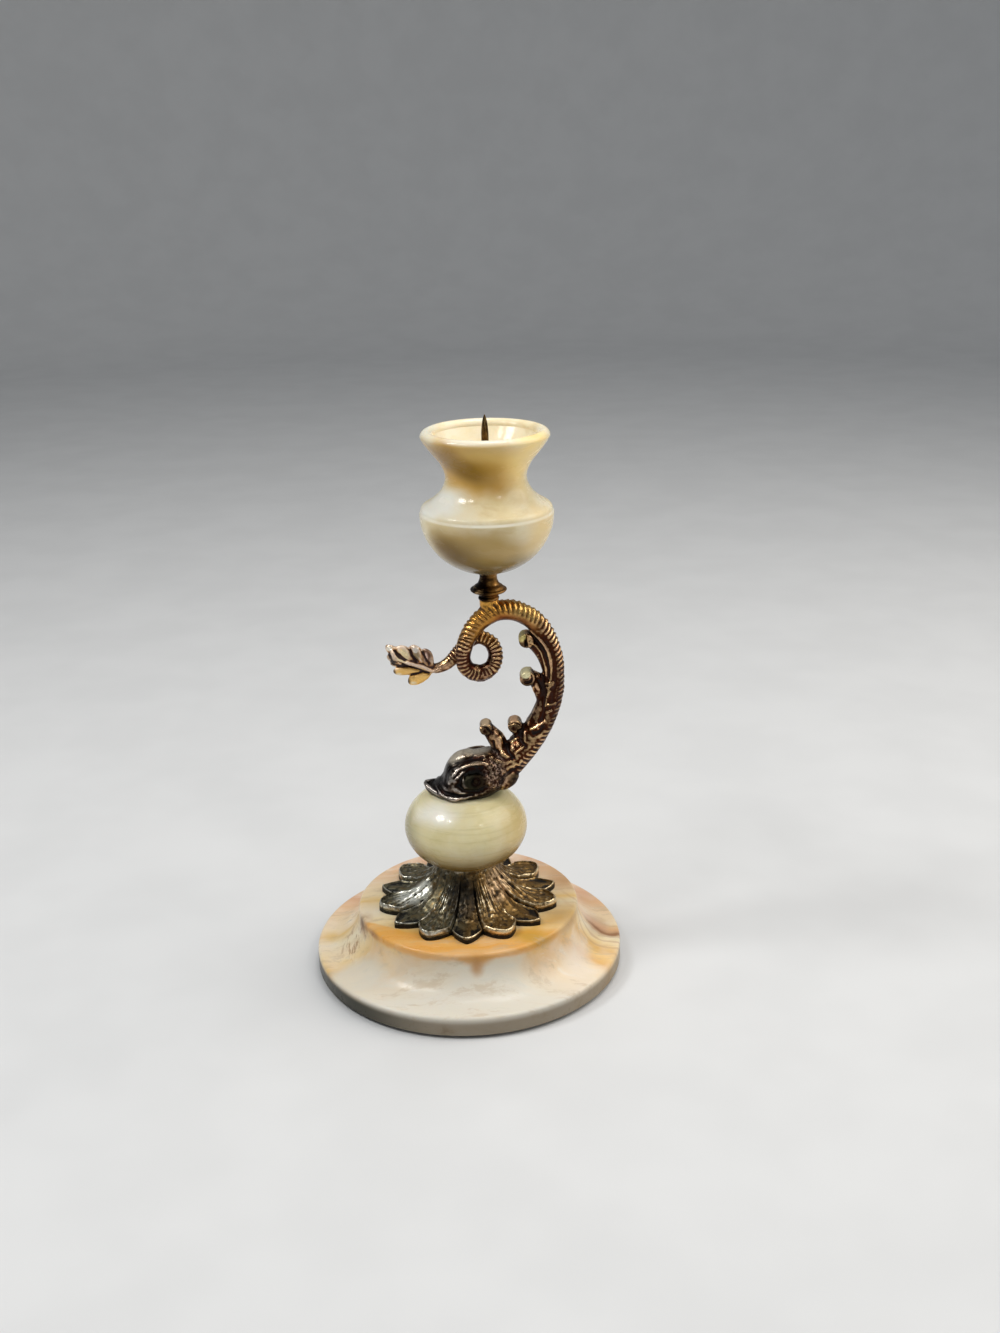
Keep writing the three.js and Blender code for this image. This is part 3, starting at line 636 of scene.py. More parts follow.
def leaf_tones(f, worn):
    """The leaf of the tail, rubbed the most, with dark gaps, and painted highlights on lobes and tips;
    returns its patch.
    """
    leaf = f.patch((-18, 0, 114), (12, 12, 11), None, 0.5)
    f.tint(f.ramp(worn, [(0.28, (52, 26, 18)), (0.5, (184, 124, 72)), (0.75, (248, 202, 146)),
                         (1, (255, 230, 208))]), leaf, 0.95)
    raised = f.between(worn, 0.35, 0.6, 0, 0.9)
    # Lobe tones, with painted highlights: a white spot on the middle lobe's tip, a pink spot on the right
    # lobe and a white spot on the leaf's tip
    for x, z, wide, tall, tone in (
            (-19.6, 117.2, 3, 3, (255, 236, 184)), (-15.2, 116.8, 1.8, 2.8, (150, 134, 98)),
            (-15.4, 119, 1.5, 1.3, (252, 246, 234)), (-11.6, 116.8, 2.2, 3.6, (104, 58, 34)),
            (-11.9, 116.2, 0.9, 2.2, (255, 222, 206)), (-24.3, 119.7, 1.4, 1.2, (248, 244, 230))):
        f.stains(None, (tone, (x, 0, z), (wide, 12, tall), raised, 0.4))
    f.stains(None,
             ((255, 202, 104), (-17.5, 0, 109), (8.5, 12, 4.6), f.between(worn, 0.25, 0.5, 0, 0.9), 0.7),
             ((40, 20, 14), (-24.3, 0, 115.3), (3, 9, 3.6), f.between(worn, 0.95, 0.8, 0.3, 1), 0.6),
             ((44, 24, 12), (-19.6, 0, 107.4), (2.8, 9, 2.2), 0.95, 0.5),
             ((44, 24, 12), (-23.6, 0, 110.7), (1.7, 9, 1.8), 0.9, 0.5),
             # The last two rows are painted highlights on the lower lobes
             ((255, 244, 206), (-21.3, 0, 110.3), (1.5, 9, 0.9), 0.8),
             ((255, 244, 206), (-16.4, 0, 107), (1.5, 9, 0.9), 0.8))
    return leaf


def head_tones(f, worn):
    """Dark silvery head, brow with a painted highlight, eye with painted shade, dark gill, speckled cheek;
    returns brow and smooth parts.
    """
    silver = f.ramp(worn, [(0.35, (8, 7, 6)), (0.66, (22, 19, 18)), (0.86, (54, 49, 46)),
                           (1, (186, 182, 178))])
    f.stains(f.warp(0.12, 2), (silver, (-1, 0, 70), (22, 16, 16), 0.95, 0.5))
    # Painted highlight: a broad pale sheen on the top of the forehead
    brow = f.most(f.patch((-4, 0, 80.2), (6, 7.5, 4.2), None, 0.5),
                  f.patch((3.5, 0, 83), (8.5, 7, 3.8), None, 0.5))
    brow = f.times(brow, f.between(worn, 0.2, 0.45))
    f.tint((190, 180, 162), brow, 0.9)
    f.stains(None, ((92, 84, 82), (-7, 0, 69), (10, 14, 4), f.between(worn, 0.5, 0.9, 0, 0.75)))
    # Painted shade: the eye and its socket darkened
    eye = f.patch((3.6, 0, 73.1), (6.2, 20, 4.7), None, 0.7)
    f.tint(f.ramp(worn, [(0.6, (6, 6, 3)), (1, (44, 42, 32))]), eye)
    speckle = f.between(f.noise(1.1, None, 4, 0.7), 0.48, 0.6)
    cheek = f.mix(speckle, (40, 25, 18), (206, 174, 152))
    f.stains(None, (cheek, (11, 0, 75), (5.5, 20, 8), 0.85, 0.4))
    gill = f.patch((18.6, 0, 72), (5, 20, 4), None, 0.55)
    f.tint((28, 20, 14), gill, 0.9)
    return brow, f.most(eye, gill)


def curl_tones(f, hollow):
    """Ends of the curls: a painted highlight on each end disc and painted shade below it; returns the pale
    discs.
    """
    pale = 0.0
    for x, z, radius, tone in ((20.6, 123.2, 2, (255, 236, 150)), (21.9, 110.2, 2.3, (255, 246, 196)),
                               (17.4, 94, 2.3, (206, 164, 124)), (7.4, 93, 2.6, (196, 172, 140))):
        # Painted shade under each curl end, in the hollows' tone
        below = (x + 0.5, 0, z - 1.5 * radius)
        f.stains(None, (hollow, below, (1.7 * radius, 9, 1.1 * radius), 0.85, 0.5))
        # Painted highlight on the end disc
        disc = f.patch((x, 0, z), (radius, 9, 0.9 * radius), None, 0.7)
        f.tint(tone, disc, 0.9)
        pale = f.most(disc, pale)
    return pale


def dolphin_brass():
    """Brown brass of the dolphin, rubbed gold."""
    look = settings().metal
    f, worn = patina("dolphin_brass", look.gold, look.brown, look.hollow)
    arch_tones(f, worn)
    leaf = leaf_tones(f, worn)
    brow, smooth = head_tones(f, worn)
    pale = curl_tones(f, look.hollow)
    f.tint((52, 24, 14), f.between(f.noise(0.16), 0.48, 0.62, 0, 0.5), 0.55)
    # Less metallic where colour is painted or rubbed: the pale curl ends and the brow are painted highlights,
    # the leaf is rubbed and painted with highlights
    rubbed = f.most(pale, f.times(leaf, 1.1), f.times(brow, 0.9))
    f.wear("Metallic", f.math("MULTIPLY_ADD", rubbed, -0.75, f.between(worn, 0.1, 0.5, 0.65, 1)))
    roughness = f.math("MULTIPLY_ADD", smooth, 0.2, f.between(worn, 0.2, 0.8, 0.5, 0.27))
    return f.finished(roughness, f.noise(1.3, None, 5, 0.6), 0.18, 0.6)


def skirt_brass():
    """Blackened brass of the skirt, silvery at the left and bronze at the right, with painted highlights and
    a painted shadow under the ball.
    """
    look = settings().metal
    f, worn = patina("skirt_brass", look.silver, look.skirt, (12, 11, 9), 0.8, 1)
    side = f.between(f.shifted(f.axis("X"), f.noise(0.12, None, 3), 30), -12, 10)
    f.tint(f.ramp(worn, [(0.15, (16, 10, 6)), (0.42, (112, 84, 44)), (0.7, (140, 108, 60)),
                         (1, (244, 220, 176))]), side)
    mottle = f.noise(0.6, None, 5, 0.7)
    f.tint((132, 100, 48), f.between(worn, 0.1, 0.35), f.between(mottle, 0.5, 0.62, 0, 0.6))
    f.tint((20, 17, 13), f.between(mottle, 0.48, 0.36, 0, 0.75))
    tips = f.times(f.slope("Z", 27.5, 25.4), f.between(mottle, 0.42, 0.58, 0, 0.55))
    faces = f.times(f.between(worn, 0.08, 0.25), f.between(worn, 0.7, 0.45))
    f.tint(f.mix(side, (124, 124, 104), (140, 112, 64)), tips, faces)
    # Painted highlights, pale at the left of the neck and pinkish at its right, and painted shadow at the
    # front under the ball
    f.stains(None,
             ((248, 248, 236), (-19, -3.5, 28), (9.5, 8, 7), f.between(worn, 0.25, 0.5), 0.5),
             ((216, 182, 142), (10, -6, 31), (6.5, 10, 8), f.between(worn, 0.35, 0.6, 0, 0.95), 0.4),
             ((16, 14, 12), (-1.5, -13.5, 29.5), (7.5, 13, 10), 0.85, 0.5))
    f.wear("Metallic", f.between(worn, 0.1, 0.5, 0.5, 0.8))
    return f.finished(f.between(worn, 0.2, 0.85, 0.5, 0.28), f.noise(1.1, None, 5, 0.6), 0.16, 0.6)


def collar_brass():
    """Turned brass of the collar, painted dark at the left as shade and a dark reflection."""
    look = settings().metal
    f = Finish("collar_brass")
    grain = f.noise(0.45, f.stretch((0.6, 0.6, 1.4)), 6, 0.6)
    # Painted shade and dark reflection at the left, brass colour at the right
    side = f.between(f.shifted(f.axis("X"), grain, 4), CUP_X - 1.5, CUP_X + 1.5)
    f.colour = f.mix(side, (32, 20, 12), (140, 100, 50))
    f.tint(look.gold, f.between(grain, 0.5, 0.75, 0, 0.6))
    f.tint(look.hollow, f.between(grain, 0.45, 0.25, 0, 0.7))
    f.wear("Metallic", 1)
    return f.finished(f.between(grain, 0.2, 0.8, 0.5, 0.3), grain, 0.08, 0.5)


def dull_metal(name, light, dark, roughness, scale=0.8, lay=(1, 1, 1)):
    """Plain turned or drawn metal with faint uneven tarnish."""
    f = Finish(name)
    grain = f.noise(scale, f.stretch(lay), 5, 0.6)
    f.colour = f.mix(f.between(grain, 0.35, 0.65), dark, light)
    f.wear("Metallic", 1)
    return f.finished(f.between(grain, 0.2, 0.8, roughness + 0.12, roughness - 0.06), grain, 0.04, 0.4)


def wool_felt():
    f = Finish("wool_felt")
    fibre = f.noise(1.5, None, 8, 0.75)
    f.colour = f.ramp(fibre, [(0.3, (38, 50, 38)), (0.7, (84, 100, 82))])
    return f.finished(1, fibre, 0.4, 0.8)


def floor_paint():
    f = Finish("floor_paint")
    f.wear("Base Color", f.mix(f.between(f.noise(0.02, None, 2), 0.3, 0.7), (212, 213, 214), (216, 217, 218)))
    f.wear("Roughness", 0.6)
    return f.material


# Routes and strokes of the casting

# Stations are [x, y, height above the head's seat, half height, half width].
LOOP_X, LOOP_Z, LOOP_WIDE, LOOP_TALL = 6.4, 50.4, 11, 12


def on_loop(degrees, y, half, wide):
    turn = math.radians(degrees)
    return [LOOP_X + LOOP_WIDE / 2 * math.cos(turn), y, LOOP_Z + LOOP_TALL / 2 * math.sin(turn), half, wide]


BODY = [
    [-14.2, 0, 3.9, 0.5, 1.5], [-12.5, 0, 1.7, 1.1, 3.4], [-9.6, 0, 1.9, 2.1, 5.4], [-6.6, 0, 3, 3.1, 8],
    [-1.6, 0, 5.2, 8.1, 10.3], [4, 0, 6.4, 8.9, 10], [9.6, 0, 8.6, 8, 8.8], [14.8, 0, 11.3, 6.4, 7.2],
    [18.6, 0, 14.5, 5.5, 6.2], [22.6, 0, 18.9, 4.9, 5.6], [27.2, 0, 26.1, 4.5, 5], [30.3, 0, 35, 4.1, 4.6],
    [31.5, 0, 43, 3.8, 4.2], [30.7, 0, 51.5, 3.6, 4], [27.3, 0, 60, 3.5, 3.8], [23.4, 0, 64.1, 3.4, 3.7],
    [18.4, 0, 66.6, 3.4, 3.7], [12.4, -0.2, 66.5, 3.35, 3.6], [7.3, -0.6, 63.6, 3.2, 3.4],
    [3.5, -1.2, 59.2, 3, 3.1], [1.5, -1.6, 54.4, 2.65, 2.9],
    on_loop(180, -1.6, 2.5, 2.8), on_loop(225, -1.2, 2.7, 2.8), on_loop(270, -0.6, 2.9, 2.8),
]
TAIL = [
    on_loop(250, -0.8, 2.2, 2.2), on_loop(270, -0.6, 2.8, 2.7), on_loop(315, 0.2, 2.75, 2.7),
    on_loop(360, 1.1, 2.55, 2.6), on_loop(405, 1.9, 2.4, 2.5), on_loop(450, 2.6, 2.3, 2.4),
    [3.2, 3, 55, 2.3, 2.4], [-0.6, 2.7, 51.4, 2.3, 2.3], [-4, 1.7, 47.9, 2.1, 2.1],
    [-8, 0.8, 46.2, 1.8, 1.9], [-11, 0.4, 46.1, 1.5, 1.6],
]
# Stems of the fin's curls: radius of the rolled end, then the stations
FIN_STEMS = [
    (2.65, [[30, 0, 44, 2, 2.8], [28.2, 0, 50.4, 2.5, 2.7], [25.6, 0, 54.6, 2.7, 2.6],
            [22.5, 0, 56.3, 2.5, 2.5]]),
    (2.65, [[28.4, 0, 31, 2.2, 2.6], [27.6, 0, 38, 3, 2.7], [25.6, 0, 41.4, 2.9, 2.6],
            [22.6, 0, 42.7, 2.4, 2.5]]),
    (2.5, [[21.5, 0, 17.5, 2.6, 3.2], [19.8, 0, 22.2, 2.7, 3], [18, 0, 25.1, 2.4, 2.6]]),
    (2.25, [[14.5, 0, 13, 2.8, 3.4], [11.7, 0, 19.4, 3, 3.2], [9.8, 0, 22.2, 2.6, 3],
            [7.9, 0, 24.3, 2.2, 2.7]]),
]
CURL_DEPTH = 6.4
LEAF_RIB = [
    [-8, 0.8, 46.1, 1.6, 1.7], [-11, 0.2, 46.1, 1.3, 1.7], [-14, -0.4, 47.5, 0.9, 1.7],
    [-19, -0.8, 49.5, 0.8, 1.6], [-22.4, -0.7, 51.6, 0.6, 1.4], [-25, -0.3, 54.9, 0.45, 0.9],
]
BROW = [
    [-5.2, -5, 6.6, 0.7, 0.8], [-2.7, -6.3, 9.8, 1.1, 1.2], [0.8, -6.6, 12, 1.2, 1.3],
    [5.6, -6.6, 13.2, 1.1, 1.2], [10, -6.2, 12.4, 0.8, 0.9],
]
LIP = [
    [-13.6, -1.4, 3.4, 0.7, 0.8], [-10.8, -4.2, 2.2, 0.9, 1], [-7.6, -6.8, 1.7, 1, 1.1],
    [-3.5, -9, 1.6, 0.9, 1], [0, -8.9, 1.7, 0.8, 0.8], [3.5, -8, 1.9, 0.5, 0.5],
]
# Lobes of the leaf: root, tip, half width and how much it stands forward of the others
LEAF_LOBES = [
    ((-18, 48.7), (-25.5, 55), 1.9, 0), ((-15.6, 47.9), (-21.8, 54.4), 3, 0.35),
    ((-12.8, 46.9), (-17, 54.8), 2.7, 0), ((-10.6, 46.2), (-12.4, 53.6), 2.3, 0.25),
    ((-19.5, 50.2), (-25.3, 51), 1.8, 0), ((-16.6, 49.3), (-24.3, 48.6), 1.9, 0),
    ((-11.5, 47.2), (-23.4, 45.5), 2.1, 0.3), ((-10, 46), (-18.4, 41.2), 2.4, 0.1),
]

# Strokes on both faces of the casting: [height, half width, line of (x, z)], z from the base's underside
HEAD_STROKES = [
    [-0.6, 0.5, [(-6.8, 72.6), (-6.2, 74.6), (-5, 76.6), (-3.1, 78), (-0.6, 79.3), (2.8, 79.9), (6.5, 80.2)]],
    [0.3, 0.6, [(-5.2, 72.4), (-4.4, 74.4), (-2.6, 76.4), (0.2, 78.1), (3.4, 79.1), (7, 79.7)]],
    [-0.35, 0.3, [(-3.4, 74.4), (-1.4, 76.6), (1.4, 77.9), (4.4, 78.5)]],
    [0.3, 0.3, [(-2.2, 74.6), (-0.4, 76.4), (2.4, 77.3), (5.4, 77.6)]],
    [-0.9, 1.3, [(-2, 72), (-1, 74.6), (1.2, 76.3), (4.4, 76.8), (7.2, 75.8)]],
    [-0.9, 1.1, [(-2, 71.8), (-0.4, 70.2), (2, 69.3), (5, 69.3), (7.6, 70.8)]],
    [0.12, 0.35, ring_line(4.2, 73.3, 2.5)],
    [-0.25, 0.4, ring_line(4.2, 73.3, 1.2)],
    [0.5, 0.35, [(-14, 71.2), (-12.9, 71), (-10.2, 69.2), (-7.5, 67.6), (-3.8, 66.5), (-1.4, 67.4)]],
    [-0.55, 0.45, [(-12.4, 71.6), (-9.8, 70.4), (-7, 68.9), (-3.6, 68), (0.4, 68.2), (3, 68)]],
    [0.4, 0.8, [(-8, 71.2), (-6.9, 69.9)]],
    [0.25, 0.35, [(-0.2, 75.2), (-0.3, 73.4)]],
]
GILL_STROKES = [
    [-0.3, 0.5, ring_line(3.6, 73, 9.2, -20, 40)],
    [0.4, 0.4, [(12.9, 76.4), (14.1, 75.6)]],
    [0.4, 0.5, [(15.2, 77), (18.2, 78.4)]],
    [0.4, 0.5, [(18.9, 77.8), (20.2, 79.4)]],
    [-0.6, 0.6, [(20.6, 75.8), (19.2, 76.6), (16.4, 75.8), (14, 74.4), (13.2, 72)]],
    [-0.5, 0.6, [(8.6, 82.8), (11, 80.8), (14.6, 79.8), (17.4, 80.2)]],
]
FIN_STROKES = [
    [0.5, 0.4, [(24, 125.4), (26.9, 123), (28.6, 120.6), (29.8, 118), (30.4, 115.4), (30.6, 112.5),
                (30.5, 109.5), (30.1, 106), (29.3, 102)]],
    [-0.3, 0.8, [(28.4, 123.4), (30.3, 120.6), (31.6, 117), (32, 113), (32, 109), (31.4, 104), (30.2, 99),
                 (28.2, 94)]],
    [0.45, 0.35, [(23.8, 121.6), (25.7, 120), (27.3, 117.9), (28.3, 115.2), (28.9, 112.4), (29.1, 109.6)]],
    [-0.5, 0.45, [(25.4, 122.4), (27.3, 120.2), (28.6, 117.8), (29.4, 115), (29.8, 112), (29.8, 109)]],
    [0.7, 0.6, [(23.6, 110.6), (26, 110.9), (27.8, 109.9)]],
    [0.55, 0.5, [(28.9, 106.7), (31.4, 107.3)]],
    [0.5, 0.5, [(29.3, 105.4), (31.2, 106.4)]],
    [-0.8, 1, [(26.6, 107.2), (27.8, 104.2), (28.2, 100.7), (27.8, 97), (26.8, 93.6)]],
    [0.35, 0.35, [(24.6, 104.8), (24.7, 102.4), (24.9, 99.3), (23.9, 95.4), (22.5, 91.5)]],
    [0.4, 0.4, [(30.2, 104.3), (28.9, 101.6), (28.3, 98.6)]],
    [0.6, 0.45, [(29.5, 99.2), (31.9, 99.7)]],
    [0.5, 0.4, [(29.1, 96.5), (30.5, 97.2)]],
    [0.6, 0.35, [(23.4, 90.2), (25.6, 91.5), (28.4, 93.4)]],
    [-0.9, 1.1, [(24.4, 88.8), (26.6, 89.6), (27.8, 91)]],
    [0.5, 0.35, [(21.4, 89), (21.3, 86)]],
    [-0.8, 0.8, [(19.7, 89), (19.4, 86.4), (21.4, 84.4)]],
    [0.5, 0.35, [(17.9, 82), (20.9, 84.3)]],
    [0.5, 0.35, [(16.5, 84.7), (19.2, 86.9)]],
    [-0.8, 0.8, [(16.4, 87.8), (14.9, 85.4), (15.3, 82.4), (16.9, 80.8)]],
    [0.5, 0.8, [(12.8, 86.4), (12.6, 83.6), (13.6, 81.6)]],
    [-0.6, 0.5, [(10.4, 85.4), (10.6, 83), (11.6, 81.4)]],
]
CURL_STROKES = [
    [-0.9, 0.45, [(22.2, 126.4), (22.1, 122.4), (22.4, 119.6)]],
    [-0.5, 0.4, ring_line(22.2, 109, 2, -100, 60)],
    [-0.6, 0.4, [(15.9, 91.6), (17.9, 92.4), (20.3, 91.2)]],
    [-0.5, 0.4, [(5.9, 91), (8.2, 90.9), (10.2, 88.4)]],
]
LEAF_STROKES = [
    [0.6, 0.4, [(-23.4, 118.4), (-22.2, 116.6), (-17.4, 114.4), (-12.8, 112.9), (-9.9, 111.3),
                (-7.2, 111.7)]],
    [-1, 0.5, [(-19.7, 114.1), (-15.8, 112.5), (-12.9, 111.1), (-9.9, 109.9)]],
    [0.6, 0.35, [(-23.4, 119.2), (-22.5, 116.7), (-20.6, 114)]],
    [-0.6, 0.4, [(-22.3, 118.8), (-20.8, 116.4), (-19, 115.4)]],
    [-1, 0.5, [(-18.4, 120.8), (-17, 118.6), (-16.6, 116.9), (-15, 114.9)]],
    [-1, 0.5, [(-14.1, 120.4), (-13, 118.6), (-12.6, 117.1), (-11.7, 115), (-10.8, 113.9)]],
    [0.4, 0.35, [(-15.8, 119.6), (-14.8, 117.4), (-13.4, 114.8)]],
    [0.4, 0.35, [(-21, 119), (-19.2, 117.2), (-17.6, 115.6)]],
    [-0.8, 0.45, [(-20.6, 109.3), (-17.2, 109.9), (-13.9, 110.7)]],
    [-0.7, 0.7, [(-25.6, 114.2), (-22.4, 113.4), (-18.6, 113)]],
]


def casting_forms():
    """The overlapping main forms of the casting, each closed."""
    bm = bmesh.new()
    swept(bm, BODY, 220, 40)
    swept(bm, TAIL, 120, 28)
    for curl, stem in FIN_STEMS:
        swept(bm, stem, 30, 24)
        x, _, z = stem[-1][:3]
        drum(bm, x, 0, z, curl, CURL_DEPTH, rounding=0.8)
    lobe(bm, (-6.5, 8), (9.5, 8.4), 7.6, 7.4)
    for side in (-1, 1):
        swept(bm, BROW, 24, 16, flip=-side)
        drum(bm, 4.1, side * 8.6, 7.8, 2.4, 1.8)
        lobe(bm, (8, 5), (18.8, 9.8), 5, 3.2, side * 4.4)
        swept(bm, LIP, 30, 14, flip=-side)
        lobe(bm, (28.6, 27.8), (22.8, 24.1), 0.9, 1.0, side * 3.9)
    swept(bm, LEAF_RIB, 40, 16)
    for root, tip, half_width, forward in LEAF_LOBES:
        for side in (-1, 1):
            lobe(bm, root, tip, half_width, 1.0, side * (0.25 + forward * 0.4))
    boss = [(0, STEM_TOP - 4), (3.2, STEM_TOP - 4), (3.2, STEM_TOP), (0, STEM_TOP)]
    part = bmesh.new()
    turned(part, boss, 40, CUP_X)
    pour(bm, part)
    return bm


def route_reading(points, stations):
    """For each point: distance along the route, angle from its outer side, and reach out of 1."""
    route = Route(stations)
    way = np.linspace(0, route.length, 900)
    centre, outward, across, half, wide = route.frames(way)
    centre[:, 2] += SEAT
    tree = KDTree(len(way))
    for i, spot in enumerate(centre):
        tree.insert(spot, i)
    tree.balance()
    nearest = np.array([tree.find(point)[1] for point in points])
    off = points - centre[nearest]
    out = np.sum(off * outward[nearest], axis=1) / half[nearest]
    side = np.sum(off * across[nearest], axis=1) / wide[nearest]
    return way[nearest], np.degrees(np.abs(np.arctan2(side, out))), np.hypot(out, side)


# Way along the body, from its snout, where it runs into the loop and the tail crosses it
CROSSING = 118.0


def ribs(points):
    """Heights of the ribs over belly, loop and tail, a little uneven as cast."""
    way, angle, reach = route_reading(points, BODY)
    tail_way, tail_angle, tail_reach = route_reading(points, TAIL)
    on_body = reach < tail_reach
    sway = np.array([noise.noise(Vector(spot) * 0.35) for spot in points])
    pitch = settings().sizes.rib_pitch / MM
    chevron = way + 0.016 * angle * np.where(way < CROSSING, 1.0, 0.3) + 0.35 * sway
    turns = np.minimum(chevron, CROSSING) / pitch + np.maximum(chevron - CROSSING, 0.0) / (0.8 * pitch)
    wave = 0.5 + 0.5 * np.cos(2 * np.pi * turns)
    late = ease(way, CROSSING - 6, CROSSING + 4)
    limit = np.interp(way, [33, 45, 60, 80, 92, CROSSING], [92, 78, 62, 74, 104, 112])
    outer = 1 - ease(way, 62.0, 46.0) * ease(angle, 46.0, 22.0)
    belly = outer * ease(angle, limit, limit - 26) * (1 - late)
    belly += ease(angle, 14.0, 26.0) * ease(angle, 128.0, 100.0) * late
    body = (wave - 0.4) * (0.44 + 0.35 * sway) * belly * ease(way, 31.0, 36.0)
    body += 0.3 * late * ease(angle, 24.0, 12.0)
    body *= ease(reach, 1.45, 1.2)
    tail_wave = 0.5 + 0.5 * np.cos(2 * np.pi * (tail_way + 0.35 * sway) / (0.8 * pitch))
    thin = ease(tail_way, 38.0, 28.0) * 0.8 + 0.2
    tail = (tail_wave - 0.4) * (0.4 + 0.25 * sway) * ease(tail_angle, 124.0, 96.0)
    tail *= thin * ease(tail_way, 37.0, 31.0) * ease(tail_reach, 1.4, 1.2)
    return np.where(on_body, body, tail)


def sculpt(points, normals):
    """Heights of all strokes at each point, on the two broad faces of the casting."""
    x, z = points[:, 0], points[:, 2]
    facing = ease(np.abs(normals[:, 1]), 0.12, 0.5)
    total = np.zeros(len(points))
    for depth, half_width, line in HEAD_STROKES + GILL_STROKES + FIN_STROKES + CURL_STROKES + LEAF_STROKES:
        reach = 3 * half_width
        ends = np.array(line)
        near = np.nonzero((x > ends[:, 0].min() - reach) & (x < ends[:, 0].max() + reach)
                          & (z > ends[:, 1].min() - reach) & (z < ends[:, 1].max() + reach))[0]
        far = stroke_distance(x[near], z[near], line)
        total[near] += depth * np.exp(-(far / half_width) ** 2) * facing[near]
    return total


def scales(points):
    """Uneven scales over the cheek, and everywhere the faint unevenness of sand casting."""
    x, z = points[:, 0], points[:, 2]
    cheek = np.exp(-(((x - 9.6) / 4.2) ** 2 + ((z - 74.0) / 5.5) ** 2) ** 2)
    fine = np.array([noise.noise(Vector(spot) * 1.0) for spot in points])
    broad = np.array([noise.noise(Vector(spot) * 0.24 + Vector((7, 3, 1))) for spot in points])
    return 0.14 * cheek * np.tanh(2 * fine) + 0.07 * fine + 0.18 * broad


# Pairs of petals, a large and a small one, and the large one's share of a pair
PAIRS, LARGE_SHARE = 7, 0.54
SECTOR = 2 * math.pi / PAIRS
# Radius at the notches between petals and at the neck, thickness, and how much lower the small petals lie
NOTCH, NECK, PETAL_THICK, SMALL_DROP = 26.5, 8.5, 2.6, 0.8
# Rows of points from the bore outwards, up the side and back in to the neck
UNDER_ROWS, WALL_ROWS, TOP_ROWS = 6, 5, 84
PETAL_ROWS = UNDER_ROWS + WALL_ROWS + TOP_ROWS


def petal_outline(place, tip):
    """Outline by place in a pair, 0 in the middle of the small petal and 0.5 in that of the large one."""
    big = np.abs(place) > (1 - LARGE_SHARE) / 2
    half = np.where(big, LARGE_SHARE / 2, (1 - LARGE_SHARE) / 2)
    across = np.clip(np.where(big, 0.5 - np.abs(place), np.abs(place)) / half, 0.0, 1.0)
    blunt, pointed = 1 - across ** 1.6, 1 - across ** 1.3
    return big, half, across, NOTCH + (tip - NOTCH) * np.where(big, blunt, pointed)


def petal_relief(place, t, inside, big, across):
    """Rim, flutes and dish of the large petal, rim and keel of the small one, and the step between them."""
    rim = 0.4 * np.exp(-((inside - 0.5) / 0.36) ** 2) * ease(t, 0.75, 0.35)
    lean = across + 0.09 * np.sin(9 * t + 2 * math.pi * place)
    flute = 0.15 * np.cos(lean * 6.3 * math.pi + 5 * t) + 0.2 * np.cos(lean * 2.6 * math.pi)
    flute *= ease(inside, 0.7, 1.8) * ease(t, 0.03, 0.2) * (0.7 + 1.5 * ease(t, 0.35, 0.7))
    large = rim + flute - 0.5 * ease(inside, 0.5, 2.0) * ease(t, 0.7, 0.2) + 0.6
    keel = 0.35 * np.exp(-(across / 0.2) ** 2) * ease(t, 0.5, 0.15)
    small = rim + keel - 0.3 * ease(inside, 0.3, 1.5) - SMALL_DROP * ease(t, 1.0, 0.35)
    step = ease(across, 1.0, np.where(big, 0.9, 0.93))
    return np.where(big, large * step - (1 - step) * 0.9, small * step - (1 - step)) * ease(t, 1.0, 0.7)


def petal_points(u, v, foot, top, tip):
    """One pair of petals: rows of the underside, then of the side wall, then of the upper face."""
    place, row = u - 0.5, v * PETAL_ROWS
    big, half, across, radius = petal_outline(place, tip)
    t = np.clip((row - UNDER_ROWS - WALL_ROWS) / TOP_ROWS, 0, 1)
    r = radius + (NECK - radius) * t
    inside = np.minimum(radius - r, (1 - across) * half * SECTOR * r)
    rise = PETAL_THICK + (top - foot - PETAL_THICK) * t ** 3
    z = foot + rise + petal_relief(place, t, inside, big, across)
    below, on_wall = row < UNDER_ROWS, row < UNDER_ROWS + WALL_ROWS
    r = np.where(on_wall, r, r - 0.35 * ease(t, 0.012, 0.0))
    wall = np.clip((row - UNDER_ROWS) / WALL_ROWS, 0, 1)
    z = np.where(on_wall, foot + (PETAL_THICK + np.where(big, 0.35, -SMALL_DROP) - 0.3) * wall, z)
    under = np.clip(row / UNDER_ROWS, 0, 1)
    r = np.where(below, SKIRT_BORE + (radius - SKIRT_BORE) * under, r)
    z = np.where(below, foot, z)
    turn = place * SECTOR - math.pi / 2
    return np.stack([r * np.cos(turn), r * np.sin(turn), z], axis=-1)


# Operators

class CANDLESTICK_OT_base(bpy.types.Operator):
    """Turned onyx base with a cove and a flat plateau, over its felt"""
    bl_idname = "candlestick.base"
    bl_label = "Base"
    bl_options = {"REGISTER", "UNDO"}

    def execute(self, context):
        foot, top = heights("marble_base")
        outer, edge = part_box("marble_base")[1].x / MM, settings().sizes.edge / MM
        rim, plateau, lip = foot + 7.0, 39.5, top - 1.8
        cove_foot = outer - edge - 0.9
        pocket, pocket_roof = 13.0, foot + 9.0
        profile = [
            (pocket, foot), (outer - 0.4, foot), (outer, foot + 0.4),
            *arc(outer - edge, rim - edge, edge, edge, 0, 90, 8),
            *arc(cove_foot, lip, cove_foot - plateau, lip - rim, 270, 180, 30),
            *arc(plateau - edge, top - edge, edge, edge, 0, 90, 8),
            (ROD_BORE, top), (ROD_BORE, pocket_roof), (pocket, pocket_roof)]
        turned_piece("onyx_base", profile, 192, 0, banded_onyx(), "banded_onyx", "marble_base", crease=40)
        return {"FINISHED"}


